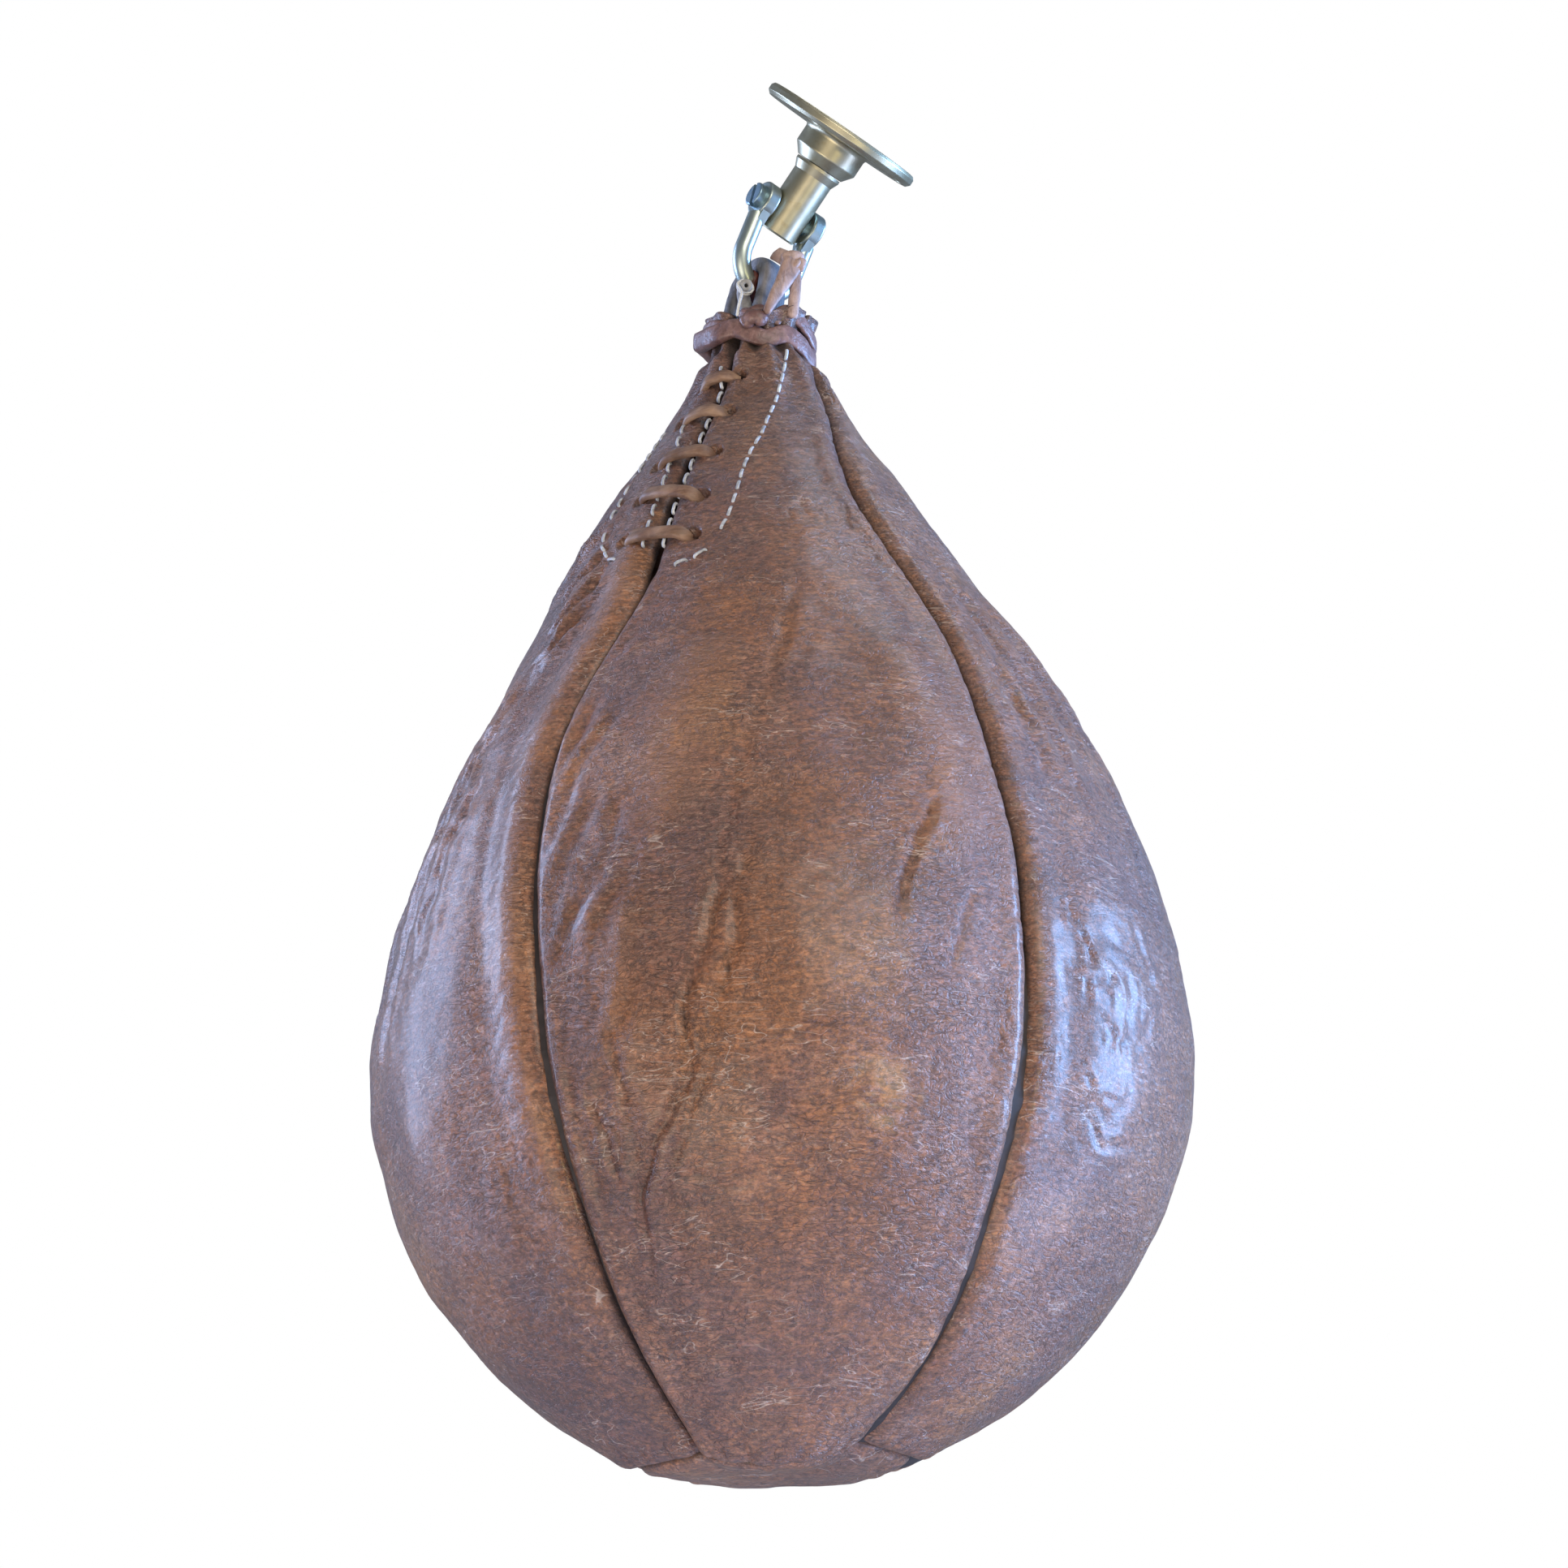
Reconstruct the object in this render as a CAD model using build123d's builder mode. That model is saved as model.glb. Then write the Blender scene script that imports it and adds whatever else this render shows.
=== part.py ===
from build123d import *
import math
import os

os.makedirs("parts", exist_ok=True)

# ---------------------------------------------------------------------------
# Leather speed bag on a ball-bearing swivel.
# Row frame, millimetres: origin at the centre of the swivel flange's mounting
# face, +Z up along the plumb line of the hanging bag, -Y towards the laced
# front of the bag.  Stored hanging, with the flange leaning on its joint.
# ---------------------------------------------------------------------------

# --- swivel ---
FLANGE_D = 56.0
FLANGE_T = 4.0
SCREW_PCD = 42.0
SCREW_D = 4.5
SCREW_HEAD_D = 9.0
SCREW_COUNT = 3
HUB_D = 22.5
HUB_L = 7.0              # straight part of the hub below the flange
HUB_TAPER_L = 3.5
HUB_END_D = 17.0
CUP_D = 17.0             # bearing cup, open at the mounting face
CUP_DEPTH = 9.0
JOURNAL_D = 8.0
JOURNAL_CLEAR = 0.05     # radial
RACE_D = 16.5
RACE_T = 1.4
RACE_GROOVE = 0.4
BALL_D = 3.0
BALL_PITCH_R = 6.2
BALL_N = 9
STEM_D = 14.0
STEM_END = -40.5         # lower end of the stem, along the swivel axis
PIN_Z = -33.5            # shackle pin, along the swivel axis
NUT_AF = 12.5
NUT_T = 3.0

# --- shackle ---
ROD_D = 6.0
JAW = 15.0               # clear width between the ears
EAR_T = 4.5
EAR_D = 12.5
BOW_R = JAW / 2 + ROD_D / 2
LEG_L = 17.46            # pin centre to bow centre
PIN_D = 6.0
PIN_HEAD_D = 8.3
PIN_HEAD_T = 2.8

# --- bag ---
LEATHER_T = 2.2
DATUM = (-19.74, 17.04, -222.28)   # belly datum of the bag in the row frame
# height, radius and sideways offset of the panels' outer surface, from the datum
PROFILE = [
    (155.5, 17.2, -7.4), (149.0, 18.0, -7.3), (141.0, 19.6, -7.1),
    (132.0, 22.6, -6.9), (118.0, 30.2, -6.8), (98.0, 42.9, -6.6), (72.0, 58.9, -5.8),
    (45.0, 73.3, -3.6), (18.0, 87.5, -0.6), (-9.0, 100.8, 0.3), (-36.0, 110.8, 0.4),
    (-62.0, 117.9, 0.2), (-88.0, 121.4, -0.2), (-113.0, 120.3, -0.9), (-137.0, 112.8, -1.7),
    (-158.0, 101.5, -2.1), (-176.0, 87.2, -2.4), (-191.0, 71.5, -2.5), (-202.0, 56.0, -2.5),
    (-210.0, 42.0, -2.5),
]
SEAMS = [-31.0, 34.0, 107.0, 180.0, 253.0, 329.0]   # degrees round from the front, 0 = -Y
SLIT_AZ = -31.0
SLIT_W = 3.6
SLIT_Z = (43.0, 157.0)
LACE_ROWS = [56.8, 74.4, 94.5, 113.5, 131.0]
LACE_D = 4.2
HOLE_D = 5.2
HOLE_AZ_R = [-19.3, -19.0, -18.6, -18.4, -17.0]
HOLE_AZ_L = [-41.5, -42.0, -43.0, -45.0, -48.0]

# --- hanger ---
SLEEVE_R = 4.9
STRAP_GAP = 0.1
STRAP_T = 3.6
STRAP_W = 9.4

# Directions at rest: the swivel axis (out of the mounting face), the shackle
# pin's axis (towards its slotted head) and the shackle, from its pin to its bow.
AXIS = Vector(0.5587, -0.4205, 0.7149).normalized()
PIN_AXIS = Vector(-0.7469, -0.6298, 0.2133)
PIN_AXIS = (PIN_AXIS - AXIS * PIN_AXIS.dot(AXIS)).normalized()
DROP = Vector(-0.3504, 0.1002, -0.9312)
DROP = (DROP - PIN_AXIS * DROP.dot(PIN_AXIS)).normalized()
NORMAL = PIN_AXIS.cross(DROP)

PIN_POS = AXIS * PIN_Z
BOW_POS = PIN_POS + DROP * LEG_L
CROWN = BOW_POS + DROP * BOW_R

SWIVEL = Plane(origin=(0, 0, 0), x_dir=PIN_AXIS, z_dir=AXIS)
# X along the pin, Y from the bow towards the pin, Z square to the shackle
SHACKLE = Plane(origin=PIN_POS, x_dir=PIN_AXIS, z_dir=PIN_AXIS.cross(DROP * -1))
PIN_PLANE = Plane(origin=PIN_POS, x_dir=DROP, z_dir=PIN_AXIS)
PLUMB = Vector(0, 0, -1)
STRAP_DIR = (PLUMB - PIN_AXIS * PLUMB.dot(PIN_AXIS)).normalized()
STRAP = Plane(origin=CROWN, x_dir=PIN_AXIS.cross(STRAP_DIR), z_dir=PIN_AXIS)

print("pin", [round(v, 4) for v in PIN_POS], "axis", [round(v, 5) for v in PIN_AXIS])
print("bow centre", [round(v, 4) for v in BOW_POS], "normal", [round(v, 5) for v in NORMAL])
print("crown", [round(v, 4) for v in CROWN], "swivel axis", [round(v, 5) for v in AXIS])


def at(x, y, z):
    """A point given from the bag's datum, in the row frame."""
    return Vector(DATUM[0] + x, DATUM[1] + y, DATUM[2] + z)


def profile(z):
    """Outer radius, sideways offset and radius slope at height z (Catmull-Rom through PROFILE)."""
    p = PROFILE
    z = max(min(z, p[0][0]), p[-1][0])
    i = 0
    while i < len(p) - 2 and z < p[i + 1][0]:
        i += 1

    def tangent(k, c):
        a, b = max(k - 1, 0), min(k + 1, len(p) - 1)
        return (p[b][c] - p[a][c]) / (p[b][0] - p[a][0])

    h = p[i + 1][0] - p[i][0]
    t = (z - p[i][0]) / h
    out = []
    for c in (1, 2):
        m0, m1 = tangent(i, c) * h, tangent(i + 1, c) * h
        out.append((2 * t**3 - 3 * t**2 + 1) * p[i][c] + (t**3 - 2 * t**2 + t) * m0
                   + (-2 * t**3 + 3 * t**2) * p[i + 1][c] + (t**3 - t**2) * m1)
    slope = tangent(i, 1) * (1 - t) + tangent(i + 1, 1) * t
    return out[0], out[1], slope


def skin(az, z, off=0.0):
    """A point on the bag's outer surface, off millimetres out along its normal."""
    r, cx, slope = profile(z)
    k = 1 / math.sqrt(1 + slope * slope)
    a = math.radians(az)
    rr = r + off * k
    return at(cx + rr * math.sin(a), -rr * math.cos(a), z - off * slope * k)


def sector_points(az0, az1, z, o_out, o_in):
    """Corner and mid points of a ring sector at height z; the offsets are normal to the skin."""
    r, cx, slope = profile(z)
    k = math.sqrt(1 + slope * slope)
    pts = []
    for rr in (r + o_out * k, r + o_in * k):
        row = []
        for a in (az0, (az0 + az1) / 2, az1):
            a = math.radians(a)
            row.append(at(cx + rr * math.sin(a), -rr * math.cos(a), z))
        pts.append(row)
    return pts


# ---------------------------------------------------------------------------
# Swivel: flange and hub, thrust bearing in its cup, spindle below
# ---------------------------------------------------------------------------
with BuildPart() as swivel_flange:
    with BuildSketch(Plane(origin=(0, 0, 0), x_dir=PIN_AXIS, z_dir=SWIVEL.y_dir * -1)):
        with BuildLine():
            Polyline(
                (CUP_D / 2, 0), (FLANGE_D / 2 - 0.8, 0), (FLANGE_D / 2, -1.0),
                (FLANGE_D / 2, -FLANGE_T + 1.2), (FLANGE_D / 2 - 1.2, -FLANGE_T),
                (HUB_D / 2, -FLANGE_T), (HUB_D / 2, -FLANGE_T - HUB_L),
                (HUB_END_D / 2, -FLANGE_T - HUB_L - HUB_TAPER_L),
                (JOURNAL_D / 2 + JOURNAL_CLEAR, -FLANGE_T - HUB_L - HUB_TAPER_L),
                (JOURNAL_D / 2 + JOURNAL_CLEAR, -CUP_DEPTH), (CUP_D / 2, -CUP_DEPTH),
                close=True,
            )
        make_face()
    revolve(axis=Axis((0, 0, 0), AXIS))
    with Locations(SWIVEL.offset(-FLANGE_T)):
        with PolarLocations(SCREW_PCD / 2, SCREW_COUNT, start_angle=30):
            with Locations(Location((0, 0, 0), (180, 0, 0))):
                CounterSinkHole(radius=SCREW_D / 2, counter_sink_radius=SCREW_HEAD_D / 2, depth=FLANGE_T)
    root = swivel_flange.edges().filter_by(GeomType.CIRCLE).filter_by(
        lambda e: abs(e.radius - HUB_D / 2) < 0.01 and abs((e.arc_center).dot(AXIS) + FLANGE_T) < 0.01)
    fillet(root, radius=1.8)
    shoulder = swivel_flange.edges().filter_by(GeomType.CIRCLE).filter_by(
        lambda e: abs(e.radius - HUB_D / 2) < 0.01 and abs((e.arc_center).dot(AXIS) + FLANGE_T + HUB_L) < 0.01)
    fillet(shoulder, radius=0.8)
    rim = swivel_flange.edges().filter_by(GeomType.CIRCLE).filter_by(lambda e: e.radius > FLANGE_D / 2 - 1.2)
    fillet(rim, radius=0.4)
swivel_flange.part.label = "swivel_flange"

BALL_Z = -CUP_DEPTH + RACE_T - RACE_GROOVE + BALL_D / 2
with BuildPart() as lower_race:
    with BuildSketch(SWIVEL.offset(-CUP_DEPTH)):
        Circle(RACE_D / 2)
        Circle(JOURNAL_D / 2 + 0.25, mode=Mode.SUBTRACT)
    extrude(amount=RACE_T)
    with BuildSketch(Plane(origin=AXIS * BALL_Z, x_dir=PIN_AXIS, z_dir=SWIVEL.y_dir * -1)):
        with Locations((BALL_PITCH_R, 0)):
            Circle(BALL_D / 2 + 0.05)
    revolve(axis=Axis((0, 0, 0), AXIS), mode=Mode.SUBTRACT)
lower_race.part.label = "lower_race"

UPPER_Z = BALL_Z + BALL_D / 2 - RACE_GROOVE
with BuildPart() as upper_race:
    with BuildSketch(SWIVEL.offset(UPPER_Z)):
        Circle(RACE_D / 2 - 0.1)
        Circle(JOURNAL_D / 2 + 0.02, mode=Mode.SUBTRACT)
    extrude(amount=RACE_T)
    with BuildSketch(Plane(origin=AXIS * BALL_Z, x_dir=PIN_AXIS, z_dir=SWIVEL.y_dir * -1)):
        with Locations((BALL_PITCH_R, 0)):
            Circle(BALL_D / 2 + 0.05)
    revolve(axis=Axis((0, 0, 0), AXIS), mode=Mode.SUBTRACT)
upper_race.part.label = "upper_race"

with BuildPart() as bearing_balls:
    with Locations(SWIVEL.offset(BALL_Z)):
        with PolarLocations(BALL_PITCH_R, BALL_N):
            Sphere(BALL_D / 2)
bearing_balls.part.label = "bearing_balls"

with BuildPart() as ball_cage:
    with BuildSketch(SWIVEL.offset(BALL_Z - 0.4)):
        Circle(8.0)
        Circle(4.45, mode=Mode.SUBTRACT)
        with PolarLocations(BALL_PITCH_R, BALL_N):
            Circle(BALL_D / 2 + 0.06, mode=Mode.SUBTRACT)
    extrude(amount=0.8)
ball_cage.part.label = "ball_cage"

SHOULDER = -FLANGE_T - HUB_L - HUB_TAPER_L - 0.3
NUT_Z = UPPER_Z + RACE_T
with BuildPart() as spindle:
    with BuildSketch(Plane(origin=(0, 0, 0), x_dir=PIN_AXIS, z_dir=SWIVEL.y_dir * -1)):
        with BuildLine():
            Polyline(
                (0, NUT_Z + NUT_T + 0.3), (JOURNAL_D / 2 - 0.5, NUT_Z + NUT_T + 0.3),
                (JOURNAL_D / 2, NUT_Z + NUT_T - 0.2),
                (JOURNAL_D / 2, SHOULDER), (8.2, SHOULDER), (8.2, SHOULDER - 1.0),
                (STEM_D / 2, SHOULDER - 3.6), (STEM_D / 2, STEM_END + 0.6),
                (STEM_D / 2 - 0.6, STEM_END), (0, STEM_END), close=True,
            )
        make_face()
    revolve(axis=Axis((0, 0, 0), AXIS))
    with BuildSketch(PIN_PLANE):
        Circle(PIN_D / 2 + 0.05)
    extrude(amount=STEM_D, both=True, mode=Mode.SUBTRACT)
    with BuildSketch(Plane(origin=AXIS * (NUT_Z + NUT_T / 2), x_dir=AXIS, z_dir=PIN_AXIS)):
        Circle(0.62)
    extrude(amount=STEM_D, both=True, mode=Mode.SUBTRACT)
spindle.part.label = "spindle"

with BuildPart() as spindle_nut:
    with BuildSketch(SWIVEL.offset(NUT_Z)):
        RegularPolygon(NUT_AF / 2, 6, major_radius=False)
        Circle(JOURNAL_D / 2 + 0.02, mode=Mode.SUBTRACT)
    extrude(amount=NUT_T)
    with BuildSketch(Plane(origin=AXIS * (NUT_Z + NUT_T / 2), x_dir=AXIS, z_dir=PIN_AXIS)):
        Circle(0.62)
    extrude(amount=STEM_D, both=True, mode=Mode.SUBTRACT)
spindle_nut.part.label = "spindle_nut"

with BuildPart() as nut_lock_pin:
    with BuildSketch(Plane(origin=AXIS * (NUT_Z + NUT_T / 2), x_dir=AXIS, z_dir=PIN_AXIS)):
        Circle(0.6)
    extrude(amount=7.4, both=True)
nut_lock_pin.part.label = "nut_lock_pin"

# ---------------------------------------------------------------------------
# D-shackle and its slotted screw pin
# ---------------------------------------------------------------------------
with BuildPart() as shackle:
    for side in (1, -1):
        with BuildSketch(Plane(origin=PIN_POS + PIN_AXIS * side * JAW / 2, x_dir=DROP, z_dir=PIN_AXIS * side)):
            Circle(EAR_D / 2)
        extrude(amount=EAR_T)
    fillet(shackle.edges().filter_by(GeomType.CIRCLE), radius=0.8)
    with BuildLine(SHACKLE) as bow_line:
        Line((BOW_R, -2.0), (BOW_R, -LEG_L))
        ThreePointArc((BOW_R, -LEG_L), (0, -LEG_L - BOW_R), (-BOW_R, -LEG_L))
        Line((-BOW_R, -LEG_L), (-BOW_R, -2.0))
    with BuildSketch(Plane(origin=SHACKLE.from_local_coords(Vector(BOW_R, -2.0, 0)), x_dir=PIN_AXIS, z_dir=DROP)):
        Circle(ROD_D / 2)
    sweep(path=bow_line.line)
    for side in (1, -1):
        # forged shoulder that blends each leg into its ear
        with BuildSketch(Plane(origin=PIN_POS + PIN_AXIS * side * (JAW / 2 + 0.7), x_dir=DROP, z_dir=PIN_AXIS * side)):
            with BuildLine():
                Polyline((0, 5.3), (4.6, 4.2), (8.8, 2.6), (8.8, -2.6), (4.6, -4.2), (0, -5.3), close=True)
            make_face()
        extrude(amount=EAR_T - 1.4)
    # keep the jaw and the outer faces flat where the round rod stands proud
    for start, depth in ((JAW / 2 + EAR_T, 3.0), (-JAW / 2 - EAR_T, -3.0), (JAW / 2, -3.0), (-JAW / 2, 3.0)):
        with BuildSketch(PIN_PLANE.offset(start)):
            Circle(EAR_D / 2 - 0.4)
        extrude(amount=depth, mode=Mode.SUBTRACT)
    with BuildSketch(PIN_PLANE):
        Circle(PIN_D / 2 + 0.02)
    extrude(amount=20, both=True, mode=Mode.SUBTRACT)
shackle.part.label = "shackle"

with BuildPart() as shackle_pin:
    with BuildSketch(PIN_PLANE.offset(-JAW / 2 - EAR_T - 0.8)):
        Circle(PIN_D / 2)
    extrude(amount=JAW + 2 * EAR_T + 0.8)
    with BuildSketch(PIN_PLANE.offset(JAW / 2 + EAR_T)):
        Circle(PIN_HEAD_D / 2)
    extrude(amount=PIN_HEAD_T)
    head = shackle_pin.edges().filter_by(GeomType.CIRCLE).filter_by(lambda e: e.radius > PIN_HEAD_D / 2 - 0.1)
    fillet(head.sort_by(Axis(PIN_POS, PIN_AXIS))[-1:], radius=0.6)
    with BuildSketch(Plane(origin=PIN_POS + PIN_AXIS * (JAW / 2 + EAR_T + PIN_HEAD_T),
                           x_dir=PIN_PLANE.x_dir.rotate(Axis((0, 0, 0), PIN_AXIS), 12), z_dir=PIN_AXIS)):
        Rectangle(PIN_HEAD_D + 2, 1.5)
    extrude(amount=-1.3, mode=Mode.SUBTRACT)
    chamfer(shackle_pin.edges().filter_by(GeomType.CIRCLE).sort_by(Axis(PIN_POS, PIN_AXIS))[:1], length=0.5)
shackle_pin.part.label = "shackle_pin"

# ---------------------------------------------------------------------------
# Hanger: wear sleeve on the bow, strap loop over it
# ---------------------------------------------------------------------------
with BuildPart() as wear_sleeve:
    with BuildSketch(Plane(origin=CROWN - PIN_AXIS * STRAP_W / 2, x_dir=DROP, z_dir=PIN_AXIS)):
        Circle(SLEEVE_R)
    extrude(amount=STRAP_W)
    with BuildSketch(Plane(origin=BOW_POS, x_dir=DROP, z_dir=PIN_AXIS)):
        with Locations((BOW_R, 0)):
            Circle(ROD_D / 2 + 0.06)
    revolve(axis=Axis(BOW_POS, NORMAL), mode=Mode.SUBTRACT)
wear_sleeve.part.label = "wear_sleeve"

STRAP_IN = SLEEVE_R + STRAP_GAP
STRAP_OUT = STRAP_IN + STRAP_T
STRAP_LEG = 25.0
sgn = 1 if STRAP.to_local_coords(CROWN - STRAP_DIR).Y > 0 else -1
with BuildPart() as hanger_loop:
    with BuildSketch(STRAP.offset(-STRAP_W / 2)):
        with BuildLine():
            ThreePointArc((-STRAP_OUT, 0), (0, sgn * STRAP_OUT), (STRAP_OUT, 0))
            Line((STRAP_OUT, 0), (STRAP_OUT, -sgn * STRAP_LEG))
            Line((STRAP_OUT, -sgn * STRAP_LEG), (STRAP_IN, -sgn * STRAP_LEG))
            Line((STRAP_IN, -sgn * STRAP_LEG), (STRAP_IN, 0))
            ThreePointArc((STRAP_IN, 0), (0, sgn * STRAP_IN), (-STRAP_IN, 0))
            Line((-STRAP_IN, 0), (-STRAP_IN, -sgn * STRAP_LEG))
            Line((-STRAP_IN, -sgn * STRAP_LEG), (-STRAP_OUT, -sgn * STRAP_LEG))
            Line((-STRAP_OUT, -sgn * STRAP_LEG), (-STRAP_OUT, 0))
        make_face()
    extrude(amount=STRAP_W)
hanger_loop.part.label = "hanger_loop"

# ---------------------------------------------------------------------------
# Bag: five leather panels, base disc, lacing and facings
# ---------------------------------------------------------------------------
slit_dir = Vector(math.sin(math.radians(SLIT_AZ)), -math.cos(math.radians(SLIT_AZ)), 0)
slit_side = Vector(0, 0, 1).cross(slit_dir)


NAMES = ["panel_front", "panel_right", "panel_back_right", "panel_back_left", "panel_left"]
panels = {}
for index, node in enumerate(NAMES):
    az0, az1 = SEAMS[index] + 0.1, SEAMS[index + 1] - 0.1
    with BuildPart() as panel:
        for z, r, cx in PROFILE:
            outer, inner = sector_points(az0, az1, z, 0, -LEATHER_T)
            with BuildSketch(Plane.XY.offset(DATUM[2] + z)):
                with BuildLine():
                    flat = [[(p.X, p.Y) for p in row] for row in (outer, inner)]
                    ThreePointArc(*flat[0])
                    Line(flat[0][2], flat[1][2])
                    ThreePointArc(*flat[1][::-1])
                    Line(flat[1][0], flat[0][0])
                make_face()
        loft()
        if node in ("panel_front", "panel_left"):
            with BuildSketch(Plane(origin=at(-6.5, 0, SLIT_Z[0]), x_dir=slit_side, z_dir=(0, 0, 1))):
                with Locations((0, -40)):
                    Rectangle(SLIT_W, 80)
            extrude(amount=SLIT_Z[1] - SLIT_Z[0], mode=Mode.SUBTRACT)
            azs = HOLE_AZ_R if node == "panel_front" else HOLE_AZ_L
            for row, az in zip(LACE_ROWS, azs):
                foot, tip = skin(az, row, -8), skin(az, row, 8)
                with BuildSketch(Plane(origin=foot, x_dir=(0, 0, 1), z_dir=(tip - foot))):
                    Circle(HOLE_D / 2)
                extrude(amount=16, mode=Mode.SUBTRACT)
    panel.part.label = node
    panels[node] = panel

DISC_R = 41.8
with BuildPart() as base_disc:
    with BuildSketch(Plane(origin=at(-2.5, 0, 0), x_dir=(1, 0, 0), z_dir=(0, -1, 0))):
        with BuildLine():
            Spline((0, -214.8), (14.0, -214.4), (28.0, -213.2), (DISC_R, -211.2), tangents=[(1, 0), (1, 0.2)])
            Polyline((DISC_R, -211.2), (DISC_R, -210.15), (36.0, -210.15))
            Spline((36.0, -210.15), (20.0, -211.9), (0, -212.6), tangents=[(-1, -0.12), (-1, 0)])
            Line((0, -212.6), (0, -214.8))
        make_face()
    revolve(axis=Axis(at(-2.5, 0, 0), (0, 0, 1)))
base_disc.part.label = "base_disc"

# facings: strips under the slit's edges that carry the lace holes
FACE_ZS = [45, 58, 72, 85, 98, 108, 118, 132, 140]
facings = {}
for node, side in (("facing_right", 1), ("facing_left", -1)):
    with BuildPart() as facing:
        for z in FACE_ZS:
            r, cx, slope = profile(z)
            near = SLIT_AZ + side * math.degrees(2.6 / r)
            far = SLIT_AZ + side * math.degrees(min(20.0 / r, 0.75))
            lo, hi = min(near, far), max(near, far)
            outer, inner = sector_points(lo, hi, z, -LEATHER_T - 0.7, -LEATHER_T - 2.3)
            with BuildSketch(Plane.XY.offset(DATUM[2] + z)):
                with BuildLine():
                    flat = [[(p.X, p.Y) for p in row] for row in (outer, inner)]
                    ThreePointArc(*flat[0])
                    Line(flat[0][2], flat[1][2])
                    ThreePointArc(*flat[1][::-1])
                    Line(flat[1][0], flat[0][0])
                make_face()
        loft()
        azs = HOLE_AZ_R if side > 0 else HOLE_AZ_L
        for row, az in zip(LACE_ROWS, azs):
            foot, tip = skin(az, row, -8), skin(az, row, 8)
            with BuildSketch(Plane(origin=foot, x_dir=(0, 0, 1), z_dir=(tip - foot))):
                Circle(HOLE_D / 2)
            extrude(amount=16, mode=Mode.SUBTRACT)
    facing.part.label = node
    facings[node] = facing

# the lace: outside bars across the slit, diagonals inside, one thong
lace_pts = []
for row, a_l, a_r in zip(LACE_ROWS, HOLE_AZ_L, HOLE_AZ_R):
    r = profile(row)[0]
    lift = LACE_D / 2 + r * (1 - math.cos(math.radians((a_r - a_l) / 2))) + 0.15
    sink = -(LEATHER_T + 2.3 + LACE_D / 2 + 0.4)
    lace_pts += [skin(a_l, row, sink), skin(a_l, row, lift), skin(a_r, row, lift), skin(a_r, row, sink)]
lace_pts = [skin(-47.0, 50.0, -(LEATHER_T + 2.3 + LACE_D / 2 + 0.6))] + lace_pts
with BuildPart() as lacing:
    with BuildLine() as lace_line:
        FilletPolyline(*lace_pts, radius=2.3)
    start = lace_line.line @ 0
    with BuildSketch(Plane(origin=start, z_dir=lace_line.line % 0)):
        Circle(LACE_D / 2)
    sweep(path=lace_line.line)
lacing.part.label = "lacing"
print("lacing volume", round(lacing.part.volume, 1), "section x length",
      round(math.pi * (LACE_D / 2) ** 2 * sum(e.length for e in lace_line.edges()), 1), "length", round(sum(e.length for e in lace_line.edges()), 1))

with BuildPart() as lace_tongue:
    for z in [44, 58, 72, 86, 100, 114, 126]:
        r, cx, slope = profile(z)
        half = math.degrees(min(9.0 / r, 0.35))
        outer, inner = sector_points(SLIT_AZ - half, SLIT_AZ + half, z, -11.4, -12.8)
        with BuildSketch(Plane.XY.offset(DATUM[2] + z)):
            with BuildLine():
                flat = [[(p.X, p.Y) for p in row] for row in (outer, inner)]
                ThreePointArc(*flat[0])
                Line(flat[0][2], flat[1][2])
                ThreePointArc(*flat[1][::-1])
                Line(flat[1][0], flat[0][0])
            make_face()
    loft()
lace_tongue.part.label = "lace_tongue"

# facing stitches: short threads along the facings' edges, on the skin
STITCH_R = [(19.0, 136.5), (12.0, 124), (7.3, 115.2), (2.5, 106.5), (-0.5, 98.5), (-4.5, 90.2),
            (-6.8, 82.0), (-8.2, 71.5), (-10.2, 61.2), (-13.2, 52.0)]
STITCH_B = [(-13.2, 52.0), (-18.0, 44.8), (-24.5, 42.0)]
STITCH_BL = [(-37.0, 48.5), (-44.2, 52.0), (-51.0, 60.0)]
STITCH_L = [(-51.0, 60.0), (-53.5, 71.5), (-56.0, 82.0), (-59.5, 90.2), (-63.0, 98.5), (-67.0, 106.5),
            (-73.0, 115.2), (-80.0, 124), (-86.0, 133)]


def along(points, step):
    """Evenly spaced surface points along a chain of (azimuth, height) points."""
    fine = []
    for (a0, z0), (a1, z1) in zip(points, points[1:]):
        for k in range(12):
            t = k / 12
            fine.append((a0 + (a1 - a0) * t, z0 + (z1 - z0) * t))
    fine.append(points[-1])
    out, gone = [fine[0]], 0.0
    for q0, q1 in zip(fine, fine[1:]):
        gone += (skin(*q1) - skin(*q0)).length
        if gone >= step:
            out.append(q1)
            gone = 0.0
    return out


with BuildPart() as facing_stitches:
    for chain in (STITCH_R, STITCH_B, STITCH_BL, STITCH_L):
        run = along(chain, 2.0)
        for k in range(0, len(run) - 2, 3):
            p0, p1 = skin(*run[k], 0.35), skin(*run[k + 2], 0.35)
            with BuildSketch(Plane(origin=p0, z_dir=(p1 - p0))):
                Circle(0.4)
            extrude(amount=(p1 - p0).length)
facing_stitches.part.label = "facing_stitches"

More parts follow.
